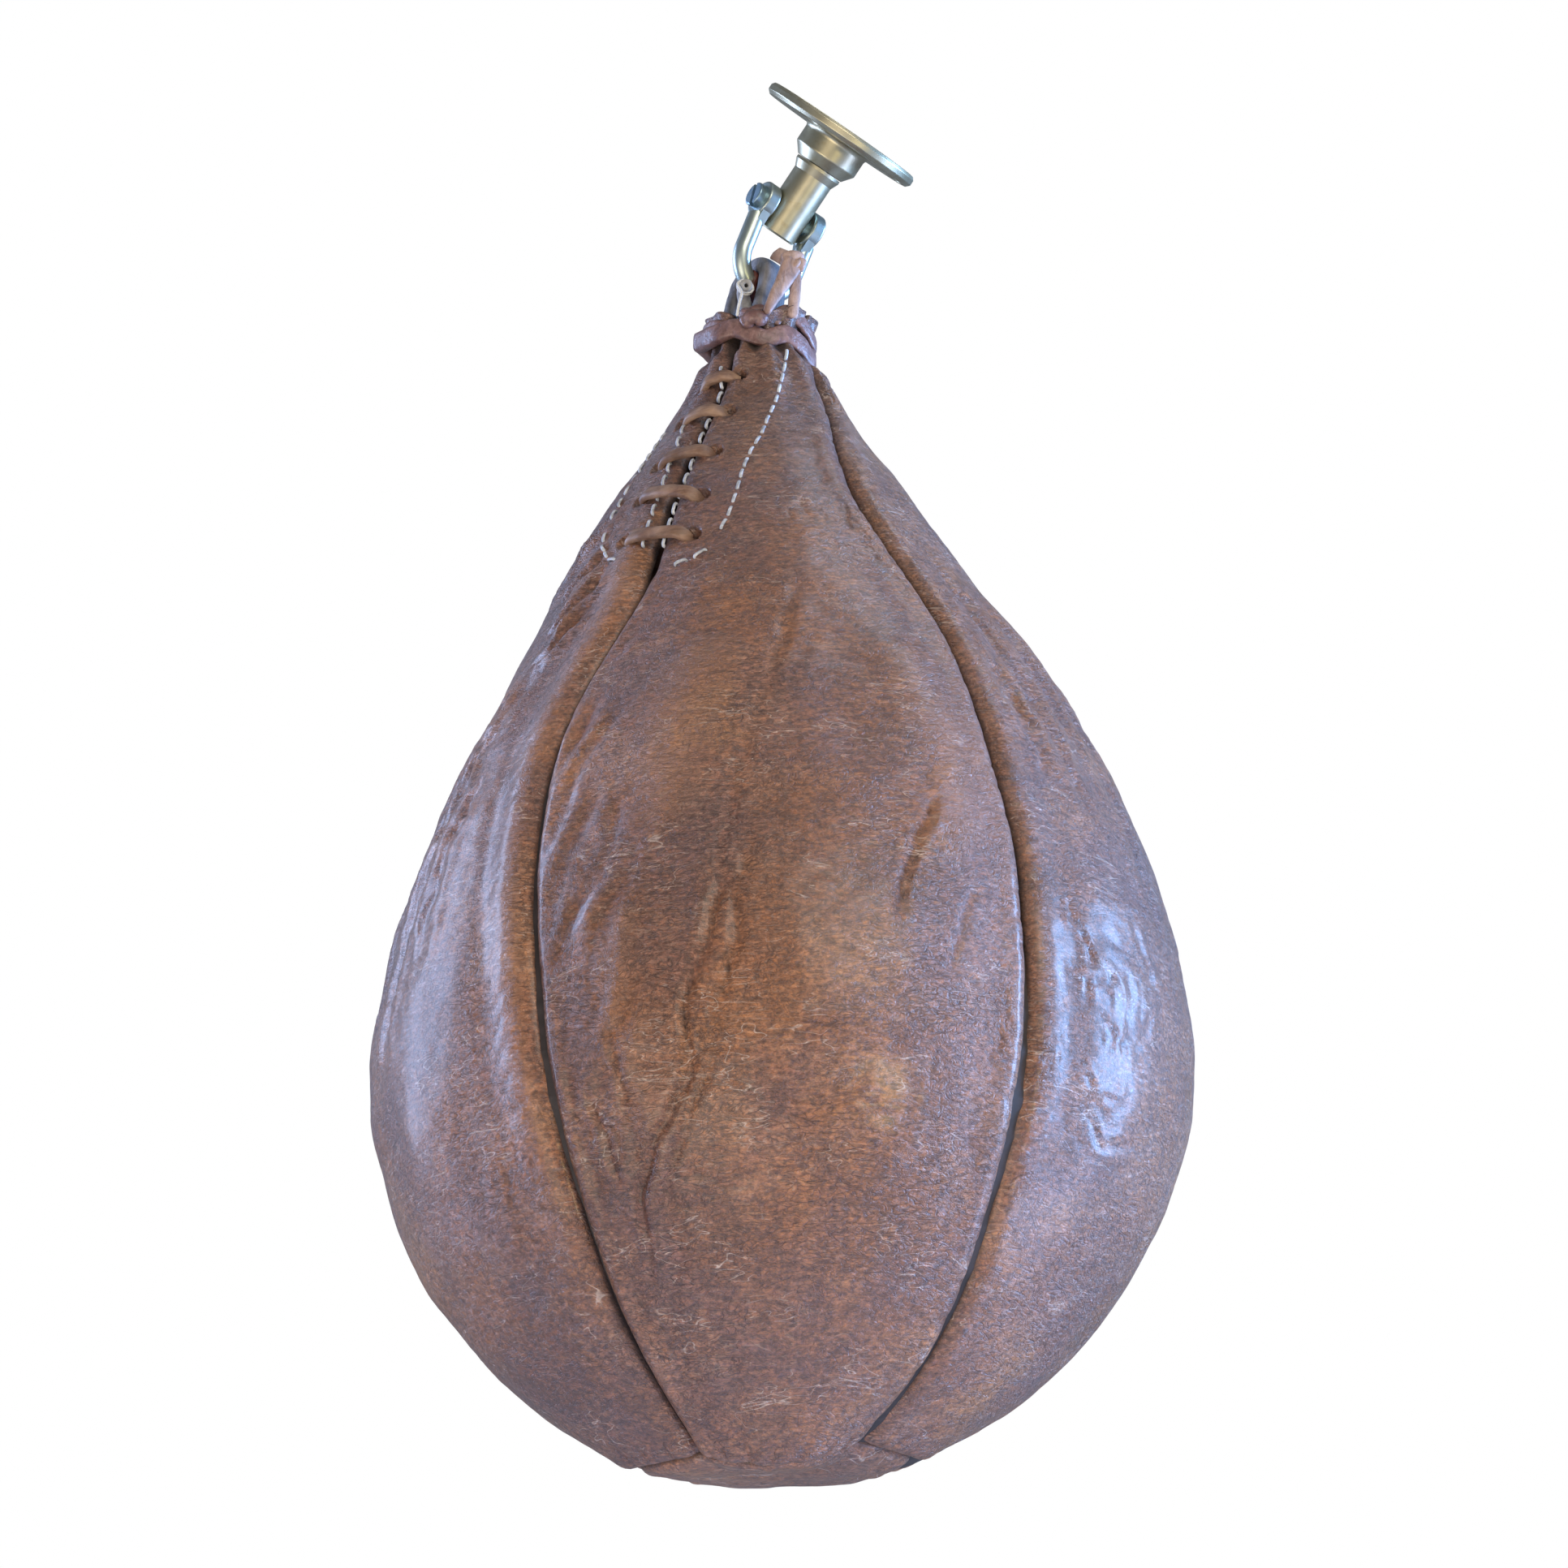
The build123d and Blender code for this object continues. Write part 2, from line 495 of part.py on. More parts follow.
# binding: two turns of thong round the neck, lower at the front and the right
with BuildPart() as neck_binding:
    for z, r in ((150.2, 21.4), (145.4, 22.8)):
        ring = Plane(origin=at(-7.3, 0, z), x_dir=(1, 0, -0.12), z_dir=(0.12, -0.16, 1))
        with BuildSketch(Plane(origin=ring.origin, x_dir=ring.x_dir, z_dir=ring.y_dir)):
            with Locations((r, 0)):
                Circle(2.3)
        revolve(axis=Axis(ring.origin, ring.z_dir))
    # where the turns cross and are drawn tight
    for az, z in ((-58, 149.5), (48, 144.8)):
        r = profile(z)[0] + 5.2
        with Locations(Location(at(-7.3 + r * math.sin(math.radians(az)), -r * math.cos(math.radians(az)), z))):
            Sphere(4.2)
neck_binding.part.label = "neck_binding"

KNOT = at(2.6, -12.6, 175.0)
with BuildPart() as thong_tail:
    for path in ([at(3.4, -19.6, 154.6), at(3.6, -17.2, 163.5), KNOT], [at(-6.4, -22.4, 153.6), at(-4.0, -20.0, 161.5), KNOT]):
        with BuildLine() as tail_line:
            FilletPolyline(*path, radius=8.0)
        with BuildSketch(Plane(origin=tail_line.line @ 0, z_dir=tail_line.line % 0)):
            Circle(2.1)
        sweep(path=tail_line.line)
        print("thong end length", round(sum(e.length for e in tail_line.edges()), 1))
    with Locations(Location(KNOT)):
        Sphere(4.1)
thong_tail.part.label = "thong_tail"

# ---------------------------------------------------------------------------
# Inside: bladder, its valve tube and the tie
# ---------------------------------------------------------------------------
BL_CX = -1.2
outer_wall, inner_wall = [], []
for z in [100, 92, 84, 76, 66, 56, 45, 32, 18, 4, -9, -22, -36, -49, -62, -75, -88, -100, -113, -125, -137, -148, -158,
          -167, -176, -184, -191, -197, -202]:
    r, cx, slope = profile(z)
    k = math.sqrt(1 + slope * slope)
    gap = 3.6 if z < 0 else min(3.6 + z * 0.27, 15.2)
    shift = abs(cx - BL_CX)
    outer_wall.append((r - gap * k - shift, z))
    inner_wall.append((r - (gap + 1.2) * k - shift, z))
BLADDER_TOP = 108.0
outer_wall = [(0, BLADDER_TOP), (5.0, 107.6), (9.0, 105.8)] + outer_wall + [(40.0, -205.8), (24.0, -207.6), (0, -208.4)]
inner_wall = [(0, BLADDER_TOP - 1.3), (4.6, 106.2), (8.0, 104.6)] + inner_wall + [(39.0, -204.6), (23.6, -206.3), (0, -207.1)]
with BuildPart() as bladder:
    with BuildSketch(Plane(origin=at(BL_CX, 0, 0), x_dir=(1, 0, 0), z_dir=(0, -1, 0))):
        with BuildLine():
            Polyline(*outer_wall, *inner_wall[::-1], close=True)
        make_face()
    revolve(axis=Axis(at(BL_CX, 0, 0), (0, 0, 1)))
bladder.part.label = "bladder"

ACROSS = PIN_AXIS.cross(STRAP_DIR)


def in_loop(x, y, w):
    """A point from the shackle's crown: x across the loop, y down, w along the rod."""
    return CROWN + ACROSS * x + STRAP_DIR * y + PIN_AXIS * w


TUBE = [at(-1.6, -0.4, BLADDER_TOP + 0.4), in_loop(1.2, 24.0, 0.8), in_loop(2.4, 9.8, 7.2), in_loop(6.4, 7.2, 9.2)]
with BuildPart() as valve_tube:
    with BuildLine() as tube_line:
        FilletPolyline(*TUBE, radius=[20.0, 2.5])
    with BuildSketch(Plane(origin=tube_line.line @ 0, z_dir=tube_line.line % 0)):
        Circle(2.05)
        Circle(0.75, mode=Mode.SUBTRACT)
    sweep(path=tube_line.line)
valve_tube.part.label = "valve_tube"

TIE_POS = tube_line.line @ 0.955
TIE_DIR = tube_line.line % 0.955
with BuildPart() as tube_tie:
    tie_plane = Plane(origin=TIE_POS, z_dir=TIE_DIR)
    for shift in (-0.45, 0.45):
        with BuildSketch(Plane(origin=TIE_POS + TIE_DIR * shift, x_dir=tie_plane.x_dir, z_dir=tie_plane.y_dir)):
            with Locations((2.65, 0)):
                Circle(0.5)
        revolve(axis=Axis(TIE_POS, TIE_DIR))
tube_tie.part.label = "tube_tie"

# ---------------------------------------------------------------------------
# One STEP per piece
# ---------------------------------------------------------------------------
export_step(swivel_flange.part, "parts/swivel_flange.step")
export_step(lower_race.part, "parts/lower_race.step")
export_step(upper_race.part, "parts/upper_race.step")
export_step(bearing_balls.part, "parts/bearing_balls.step")
export_step(ball_cage.part, "parts/ball_cage.step")
export_step(spindle.part, "parts/spindle.step")
export_step(spindle_nut.part, "parts/spindle_nut.step")
export_step(nut_lock_pin.part, "parts/nut_lock_pin.step")
export_step(shackle.part, "parts/shackle.step")
export_step(shackle_pin.part, "parts/shackle_pin.step")
export_step(wear_sleeve.part, "parts/wear_sleeve.step")
export_step(hanger_loop.part, "parts/hanger_loop.step")
for node in NAMES:
    export_step(panels[node].part, f"parts/{node}.step")
export_step(base_disc.part, "parts/base_disc.step")
export_step(facings["facing_right"].part, "parts/facing_right.step")
export_step(facings["facing_left"].part, "parts/facing_left.step")
export_step(lacing.part, "parts/lacing.step")
export_step(lace_tongue.part, "parts/lace_tongue.step")
export_step(facing_stitches.part, "parts/facing_stitches.step")
export_step(neck_binding.part, "parts/neck_binding.step")
export_step(thong_tail.part, "parts/thong_tail.step")
export_step(bladder.part, "parts/bladder.step")
export_step(valve_tube.part, "parts/valve_tube.step")
export_step(tube_tie.part, "parts/tube_tie.step")
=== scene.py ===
import bpy
import math
import numpy as np
from mathutils import Vector, Matrix


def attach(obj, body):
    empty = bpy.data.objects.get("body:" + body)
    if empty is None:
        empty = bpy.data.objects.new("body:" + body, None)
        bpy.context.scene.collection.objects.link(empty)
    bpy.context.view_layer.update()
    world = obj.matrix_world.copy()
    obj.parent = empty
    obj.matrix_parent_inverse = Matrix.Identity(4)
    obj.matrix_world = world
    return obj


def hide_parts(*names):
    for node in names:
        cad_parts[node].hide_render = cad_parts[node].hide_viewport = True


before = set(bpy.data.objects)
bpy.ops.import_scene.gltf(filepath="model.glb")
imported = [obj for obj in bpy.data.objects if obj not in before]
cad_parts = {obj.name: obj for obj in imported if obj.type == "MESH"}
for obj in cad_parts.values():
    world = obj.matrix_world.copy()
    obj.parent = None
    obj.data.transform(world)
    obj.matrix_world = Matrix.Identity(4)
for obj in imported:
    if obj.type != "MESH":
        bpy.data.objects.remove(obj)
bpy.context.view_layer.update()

MM = 0.001
DATUM = np.array([-19.74, 17.04, -222.28])      # belly datum of the bag, mm, row frame

# ---------------------------------------------------------------------------
# numbers shared with the CAD (height, radius, sideways offset)
# ---------------------------------------------------------------------------
PROFILE = np.array([
    (155.5, 17.2, -7.4), (149.0, 18.0, -7.3), (141.0, 19.6, -7.1), (132.0, 22.6, -6.9), (118.0, 30.2, -6.8),
    (98.0, 42.9, -6.6), (72.0, 58.9, -5.8), (45.0, 73.3, -3.6), (18.0, 87.5, -0.6), (-9.0, 100.8, 0.3),
    (-36.0, 110.8, 0.4), (-62.0, 117.9, 0.2), (-88.0, 121.4, -0.2), (-113.0, 120.3, -0.9), (-137.0, 112.8, -1.7),
    (-158.0, 101.5, -2.1), (-176.0, 87.2, -2.4), (-191.0, 71.5, -2.5), (-202.0, 56.0, -2.5), (-210.0, 42.0, -2.5)])


def smooth_table(t, values, n, passes):
    """values over t, resampled to n even steps and softened."""
    x = np.linspace(t.min(), t.max(), n)
    y = np.interp(x, t, values)
    k = np.array([1, 4, 6, 4, 1]) / 16.0
    for _ in range(passes):
        y = np.convolve(np.pad(y, 2, mode="reflect", reflect_type="odd"), k, mode="valid")
    return x, y


_o = np.argsort(PROFILE[:, 0])
_pz, _pr = smooth_table(PROFILE[_o, 0], PROFILE[_o, 1], 1200, 260)
_, _pc = smooth_table(PROFILE[_o, 0], PROFILE[_o, 2], 1200, 400)
_ps = np.gradient(_pr, _pz)


def prof(z):
    return np.interp(z, _pz, _pr), np.interp(z, _pz, _pc), np.interp(z, _pz, _ps)


def place(az, z, off=0.0):
    """Points on the bag (mm, row frame): az degrees round from the front (0 = -Y), off along the normal."""
    az, z, off = np.broadcast_arrays(np.asarray(az, float), np.asarray(z, float), np.asarray(off, float))
    r, cx, s = prof(z)
    k = 1 / np.sqrt(1 + s * s)
    a = np.radians(az)
    rr = r + off * k
    return np.stack([DATUM[0] + cx + rr * np.sin(a), DATUM[1] - rr * np.cos(a), DATUM[2] + z - off * s * k], -1)


def normal(az, z):
    r, cx, s = prof(np.asarray(z, float))
    a = np.radians(np.asarray(az, float))
    n = np.stack([np.sin(a) + 0 * s, -np.cos(a) + 0 * s, -s + 0 * a], -1)
    return n / np.linalg.norm(n, axis=-1, keepdims=True)


# ---------------------------------------------------------------------------
# noise
# ---------------------------------------------------------------------------
_rng = np.random.RandomState(41)
_perm = np.concatenate([_rng.permutation(256)] * 3)
_grad = _rng.normal(size=(256, 3))
_grad /= np.linalg.norm(_grad, axis=1, keepdims=True)


def noise(p, scale, seed=0):
    """Gradient noise of points p (mm) at feature size scale, about -1 to 1."""
    p = np.asarray(p, float) / scale + seed * 17.31
    i = np.floor(p).astype(int)
    f = p - i
    u = f * f * f * (f * (f * 6 - 15) + 10)
    i &= 255
    total = 0
    for dx in (0, 1):
        wx = u[..., 0] if dx else 1 - u[..., 0]
        for dy in (0, 1):
            wy = u[..., 1] if dy else 1 - u[..., 1]
            for dz in (0, 1):
                wz = u[..., 2] if dz else 1 - u[..., 2]
                h = _perm[_perm[_perm[i[..., 0] + dx] + i[..., 1] + dy] + i[..., 2] + dz]
                g = _grad[h]
                total = total + wx * wy * wz * (g[..., 0] * (f[..., 0] - dx) + g[..., 1] * (f[..., 1] - dy) + g[..., 2] * (f[..., 2] - dz))
    return total * 1.7


def fbm(p, scale, octaves=3, seed=0):
    out, amp = 0, 1.0
    for o in range(octaves):
        out = out + amp * noise(p, scale / 2 ** o, seed + o)
        amp *= 0.5
    return out


def smoothstep(a, b, x):
    t = np.clip((x - a) / (b - a), 0, 1)
    return t * t * (3 - 2 * t)


def bump(x, centre, width):
    return np.exp(-((x - centre) / width) ** 2)


# ---------------------------------------------------------------------------
# mesh helpers
# ---------------------------------------------------------------------------
def mesh_object(name, verts, faces, smooth=True):
    me = bpy.data.meshes.new(name)
    me.from_pydata([tuple(v) for v in (np.asarray(verts) * MM)], [], [tuple(int(i) for i in f) for f in faces])
    me.update()
    if smooth:
        me.polygons.foreach_set("use_smooth", [True] * len(me.polygons))
    ob = bpy.data.objects.new(name, me)
    bpy.context.scene.collection.objects.link(ob)
    return ob


def grid_faces(nr, nc, start=0, close=False):
    i = np.arange((nr - 1) * (nc if close else nc - 1))
    cols = nc if close else nc - 1
    r, c = i // cols, i % cols
    c2 = (c + 1) % nc
    return np.stack([start + r * nc + c, start + (r + 1) * nc + c, start + (r + 1) * nc + c2, start + r * nc + c2], -1)


def catmull(points, step):
    """Smooth path through points (mm), about step apart."""
    p = np.asarray(points, float)
    q = np.vstack([2 * p[0] - p[1], p, 2 * p[-1] - p[-2]])
    out = []
    for i in range(1, len(q) - 2):
        n = max(2, int(np.linalg.norm(q[i + 1] - q[i]) / step))
        t = np.linspace(0, 1, n, endpoint=False)[:, None]
        a, b, c, d = q[i - 1], q[i], q[i + 1], q[i + 2]
        out.append(0.5 * (2 * b + (c - a) * t + (2 * a - 5 * b + 4 * c - d) * t ** 2 + (3 * b - a - 3 * c + d) * t ** 3))
    out.append(p[-1:])
    return np.vstack(out)


def tube_data(path, width, thick, up, sides=14, rounded=True, edge=2.4, start=0):
    """Strip or thong swept along path. width lies across up, thick along up; both may vary along it.
    edge is the superellipse power: 2 round, higher squarer."""
    n = len(path)
    w = np.broadcast_to(np.asarray(width, float), n)
    h = np.broadcast_to(np.asarray(thick, float), n)
    up = np.broadcast_to(np.asarray(up, float), (n, 3))
    t = np.gradient(path, axis=0)
    t /= np.linalg.norm(t, axis=1, keepdims=True)
    side = np.cross(t, up)
    side /= np.linalg.norm(side, axis=1, keepdims=True) + 1e-9
    for i in range(1, n):                               # no sudden flips
        if side[i] @ side[i - 1] < 0:
            side[i] = -side[i]
    nrm = np.cross(side, t)
    ang = np.linspace(0, 2 * math.pi, sides, endpoint=False)
    ca, sa = np.cos(ang), np.sin(ang)
    ex = np.sign(ca) * np.abs(ca) ** (2 / edge)
    ey = np.sign(sa) * np.abs(sa) ** (2 / edge)
    s = np.concatenate([[0], np.cumsum(np.linalg.norm(np.diff(path, axis=0), axis=1))])
    cap = np.ones(n)
    if rounded:
        rad = h / 2
        d = np.minimum(s, s[-1] - s)
        cap = np.sqrt(np.clip(1 - (1 - np.clip(d / rad, 0, 1)) ** 2, 0.04, 1))
    v = (path[:, None] + side[:, None] * (ex * 0.5)[None, :, None] * (w * cap)[:, None, None]
         + nrm[:, None] * (ey * 0.5)[None, :, None] * (h * cap)[:, None, None])
    verts = v.reshape(-1, 3)
    faces = [tuple(f) for f in (grid_faces(n, sides, 0, close=True))]
    faces.append(tuple(range(sides)))
    faces.append(tuple(range((n - 1) * sides, n * sides))[::-1])
    return verts, [tuple(i + start for i in f) for f in faces], s


def join_data(parts):
    verts, faces, base = [], [], 0
    for v, f in parts:
        verts.append(v)
        faces += [tuple(i + base for i in q) for q in f]
        base += len(v)
    return np.vstack(verts), faces


def fix_normals(ob):
    bpy.context.view_layer.objects.active = ob
    for o in bpy.context.selected_objects:
        o.select_set(False)
    ob.select_set(True)
    bpy.ops.object.mode_set(mode="EDIT")
    bpy.ops.mesh.select_all(action="SELECT")
    bpy.ops.mesh.normals_make_consistent(inside=False)
    bpy.ops.object.mode_set(mode="OBJECT")
    ob.select_set(False)


# ---------------------------------------------------------------------------
# seams
# ---------------------------------------------------------------------------
def seam(points):
    p = np.array(sorted((z, a) for a, z in points))
    return smooth_table(p[:, 0], p[:, 1], 500, 60)


LEFT = seam([(-31, 155.5), (-31, 130), (-30.6, 100), (-30, 60), (-30, 41), (-35.2, 19), (-37.8, 7), (-39.2, -5),
             (-39.8, -17), (-39.2, -34), (-37.8, -50), (-36.8, -65), (-35.2, -80), (-33.8, -97), (-33, -112),
             (-32.2, -127), (-31.8, -137), (-31.5, -146), (-30.8, -157), (-31, -169), (-31.3, -181), (-31, -191),
             (-31, -201), (-30.2, -210)])
RIGHT = seam([(62, 155.5), (60, 141), (53.8, 128.5), (43, 114), (34, 101.5), (29.5, 77.8), (31.5, 61), (35.0, 39.5),
              (35.2, 17), (34.5, -4.5), (34, -30), (34.8, -50), (34, -74), (34.2, -89), (34.2, -122), (34.5, -133),
              (34.5, -156), (35.8, -171), (36.2, -182), (36.5, -192), (36.5, -200), (35.2, -210)])
BACK_R = seam([(112, 155.5), (108, 60), (107, -60), (106.5, -210)])
BACK = seam([(182, 155.5), (180.5, 60), (179.4, -60), (180, -210)])
BACK_L = seam([(250, 155.5), (252.5, 60), (253.4, -60), (253, -210)])


def seam_at(s, z):
    return np.interp(z, s[0], s[1])


SLIT_TOP, SLIT_END = 155.5, 42.0


def stroke(p3, pts, w, warp=1.2, seed=3):
    """Distance (mm) from surface points p3 to the stroke through pts [(az, z)], and how far along it (0-1)."""
    path = catmull([place(a, z) for a, z in pts], 3.0)
    lo, hi = path.min(0) - 4 * w - 4, path.max(0) + 4 * w + 4
    near = np.all((p3 > lo) & (p3 < hi), axis=-1)
    d = np.full(p3.shape[:-1], 1e3)
    t = np.zeros(p3.shape[:-1])
    if not near.any():
        return d, t
    q = p3[near]
    if warp:
        q = q + warp * np.stack([noise(q, 9, seed), noise(q, 9, seed + 5), noise(q, 9, seed + 9)], -1)
    best, along = np.full(len(q), 1e6), np.zeros(len(q))
    n = len(path) - 1
    for i in range(n):
        a, b = path[i], path[i + 1]
        ab = b - a
        f = np.clip(((q - a) @ ab) / (ab @ ab), 0, 1)
        dd = np.sum((q - (a + f[:, None] * ab)) ** 2, -1)
        m = dd < best
        best[m] = dd[m]
        along[m] = (i + f[m]) / n
    d[near] = np.sqrt(best)
    t[near] = along
    return d, t


def crease(p3, pts, amp, w, lip=0.4, warp=1.2, seed=3, ends=0.15):
    d, t = stroke(p3, pts, w, warp, seed)
    taper = smoothstep(0, ends, t) * smoothstep(0, ends, 1 - t) * (t > 0) * (d < 900)
    return taper * amp * (-np.exp(-(d / w) ** 2) + lip * np.exp(-((d - 2.1 * w) / (1.1 * w)) ** 2))


def swell(p3, pts, amp, w, warp=1.5, seed=5, ends=0.2):
    d, t = stroke(p3, pts, w, warp, seed)
    taper = smoothstep(0, ends, t) * smoothstep(0, ends, 1 - t) * (d < 900)
    return taper * amp * np.exp(-(d / w) ** 2)


# lace hole centres (azimuth, height)
HOLES_R = [(-19.5, 54.8), (-19.0, 71.8), (-18.5, 91.8), (-18.2, 111.5), (-18.0, 128.8)]
HOLES_L = [(-40.0, 58.4), (-42.0, 77.0), (-43.5, 92.0), (-46.0, 111.6), (-50.0, 126.8)]

FRONT_CREASES = [
    ([(6, 41.5), (-0.8, 5.2), (-7.5, -45.8), (-9, -82.5), (-12, -104.8), (-11.5, -121.8), (-15.5, -136.5), (-19, -148.5)], 0.8, 1.6),
    ([(-4, -50), (-8.5, -78), (-12, -104.8), (-11.5, -121.8), (-15.5, -136.5), (-19, -148.5), (-20.5, -158.8), (-21, -170), (-25, -180)], 1.5, 1.2),
    ([(-3, -76), (-7.0, -98), (-8.4, -116), (-11.0, -132), (-15.5, -148), (-17.5, -162)], 1.2, 1.0),
    ([(-24, -104), (-21, -120), (-20.5, -134)], 0.6, 1.1), ([(-27, -124), (-24, -138), (-23.5, -150)], 0.6, 1.1),
    ([(-3, -52), (-5.6, -74), (-6.6, -94), (-9.4, -112), (-12, -130)], 1.4, 1.2),
    ([(22, -40), (17, -62), (14, -84)], 1.0, 1.3),
    ([(26, -66), (23, -84), (21, -98)], 0.6, 1.2),
    ([(-26, -30), (-24, -52), (-26, -70)], 0.45, 1.6),
    
]


def front_relief(p3, az, z, dl, dr):
    o = np.zeros(az.shape)
    for k, (pts, amp, w) in enumerate(FRONT_CREASES):
        o += crease(p3, pts, amp, w, lip=0.16, seed=11 + k, ends=0.22)
    # soft standing swells of the slack leather
    o += swell(p3, [(17, 18), (24, -8), (26, -40), (22, -70)], 1.8, 12)
    o += swell(p3, [(-12, 20), (-16, -20), (-17, -60)], 1.4, 12, seed=7)
    o -= swell(p3, [(8, 40), (10, 0), (8, -50)], 1.0, 12, seed=8)
    o += swell(p3, [(-24, -60), (-20, -110), (-14, -150)], 1.0, 9, seed=9)
    
    # ripples that run in from the left seam
    rip = np.sin((0.40 * z - 0.9 * dl) / 1.7 + 2.2 * noise(p3, 22, 4)) * np.clip(noise(p3, 20, 8) + 0.30, 0, 1)
    o += 0.75 * rip * smoothstep(1, 5, dl) * (1 - smoothstep(20, 40, dl)) * smoothstep(40, 10, z)
    # the right edge is a smooth roll with short cross creases
    roll = smoothstep(125, 90, z) * smoothstep(-190, -120, z)
    o += roll * 0.9 * bump(dr, 5.5, 4.0)
    o -= roll * 0.2 * bump(dr, 13.5, 4.5)
    rib = np.clip(np.sin(z / 1.55 + 2.6 * noise(p3, 18, 14)), 0, 1) ** 2
    o -= 0.55 * rib * bump(dr, 2.6, 3.0) * np.clip(0.5 + noise(p3, 24, 15), 0, 1)
    # left edge: narrow roll
    o += 0.5 * bump(dl, 4.0, 2.6) * smoothstep(45, 25, z)
    return o


def left_relief(p3, az, z, dl, dr):
    """Left panel; dr is the distance from the front-left seam."""
    o = np.zeros(az.shape)
    band = smoothstep(70, 48, z) * smoothstep(-190, -95, z)
    # rolled ridge beside the seam, ribbed across
    o += band * 1.7 * bump(dr, 8.0, 5.2)
    o -= band * 0.6 * bump(dr, 19.0, 4.0)
    along = z + 0.035 * (dr - 2) ** 2 + 3.0 * noise(p3, 30, 21)
    rib = np.abs(np.sin(along / 2.3 + 0.9 * noise(p3, 9, 22)))
    o -= 0.42 * (1 - rib) ** 2 * band * smoothstep(0.5, 3, dr) * (1 - smoothstep(13, 18, dr)) * np.clip(0.65 + noise(p3, 22, 23), 0.1, 1)
    # vertical slack folds
    for k, (a0, z0, a1, z1, amp, w) in enumerate([
            (-62, 32, -66, -52, 1.3, 2.6), (-70, 20, -73, -66, 1.2, 2.8), (-57, -8, -58, -86, 1.0, 2.4), (-79, 30, -82, -50, 1.0, 3.0),
            (-66, -28, -70, -112, 1.1, 2.6), (-54, 20, -60, -24, 1.1, 2.2), (-88, 10, -90, -80, 0.9, 3.2), (-76, -40, -76, -100, 0.8, 2.4)]):
        mid = ((a0 + a1) / 2 + 2.0 * math.sin(k * 2.1), (z0 + z1) / 2)
        o += crease(p3, [(a0, z0), mid, (a1, z1)], amp, w, lip=0.6, warp=3.0, seed=30 + k, ends=0.3)
    # crumpled folds just above the ridge
    for k, (pts, amp, w) in enumerate([
            ([(-46, 62), (-52, 50), (-60, 42)], 1.4, 1.8), ([(-44, 50), (-50, 38), (-58, 30)], 1.5, 1.8),
            ([(-46, 36), (-52, 24), (-60, 18)], 1.2, 1.6), ([(-58, 72), (-66, 56), (-72, 44)], 1.2, 2.2),
            ([(-50, 86), (-58, 70), (-66, 60)], 1.0, 2.0), ([(-62, 100), (-68, 84), (-74, 66)], 1.0, 2.2)]):
        o += crease(p3, pts, amp, w, lip=0.8, warp=2.0, seed=50 + k, ends=0.25)
    o += 0.8 * fbm(p3, 34, 2, 61) * smoothstep(10, 30, dr)
    return o


def right_relief(p3, az, z, dl, dr):
    """Right panel; dl is the distance from the front-right seam."""
    o = np.zeros(az.shape)
    roll = smoothstep(110, 60, z) * smoothstep(-190, -100, z)
    o += roll * 0.7 * bump(dl, 6.5, 4.5)
    o -= roll * 0.3 * bump(dl, 16, 4.5)
    rib = np.clip(np.sin(z / 1.7 + 3.0 * noise(p3, 16, 24)), 0, 1) ** 2
    o -= 0.55 * rib * bump(dl, 3.0, 3.4) * np.clip(0.55 + noise(p3, 24, 25), 0, 1)
    for k, (a0, z0, a1, z1, amp, w) in enumerate([
            (46, 60, 50, -10, 1.0, 2.6), (56, 50, 58, -20, 1.1, 2.8), (66, 56, 67, -18, 1.0, 3.0), (50, 24, 53, -44, 0.9, 2.4),
            (76, 60, 76, -30, 1.2, 3.4), (62, 0, 64, -70, 0.9, 2.8), (86, 50, 86, -40, 1.0, 3.4), (43, 20, 46, -40, 0.9, 2.2)]):
        mid = ((a0 + a1) / 2 + 1.2 * math.sin(k * 1.7), (z0 + z1) / 2)
        o += crease(p3, [(a0, z0), mid, (a1, z1)], amp, w, lip=0.7, warp=3.0, seed=70 + k, ends=0.35)
    # shrunken, creased patch beside the seam
    for k, (pts, amp, w) in enumerate([
            ([(41, -62), (44, -84), (43, -100)], 0.8, 1.1), ([(46, -76), (50, -94), (48, -112)], 0.8, 1.1),
            ([(53, -80), (51, -102), (54, -120)], 0.7, 1.2), ([(43, -114), (49, -119), (55, -116)], 0.7, 1.0),
            ([(45, -99), (52, -104), (58, -98)], 0.6, 1.0), ([(40, -84), (46, -90), (50, -84)], 0.6, 1.0),
            ([(44, -126), (52, -132), (60, -128)], 0.5, 1.1), ([(56, -64), (58, -86), (57, -104)], 0.6, 1.2)]):
        o += crease(p3, pts, amp, w, lip=0.45, warp=3.2, seed=140 + k, ends=0.3)
    # fold that opens at the top of the seam
    o += swell(p3, [(66, 140), (52, 116), (42, 96), (38, 76)], 0.6, 4.5, seed=81)
    o += 0.8 * fbm(p3, 40, 2, 82) * smoothstep(10, 30, dl)
    return o


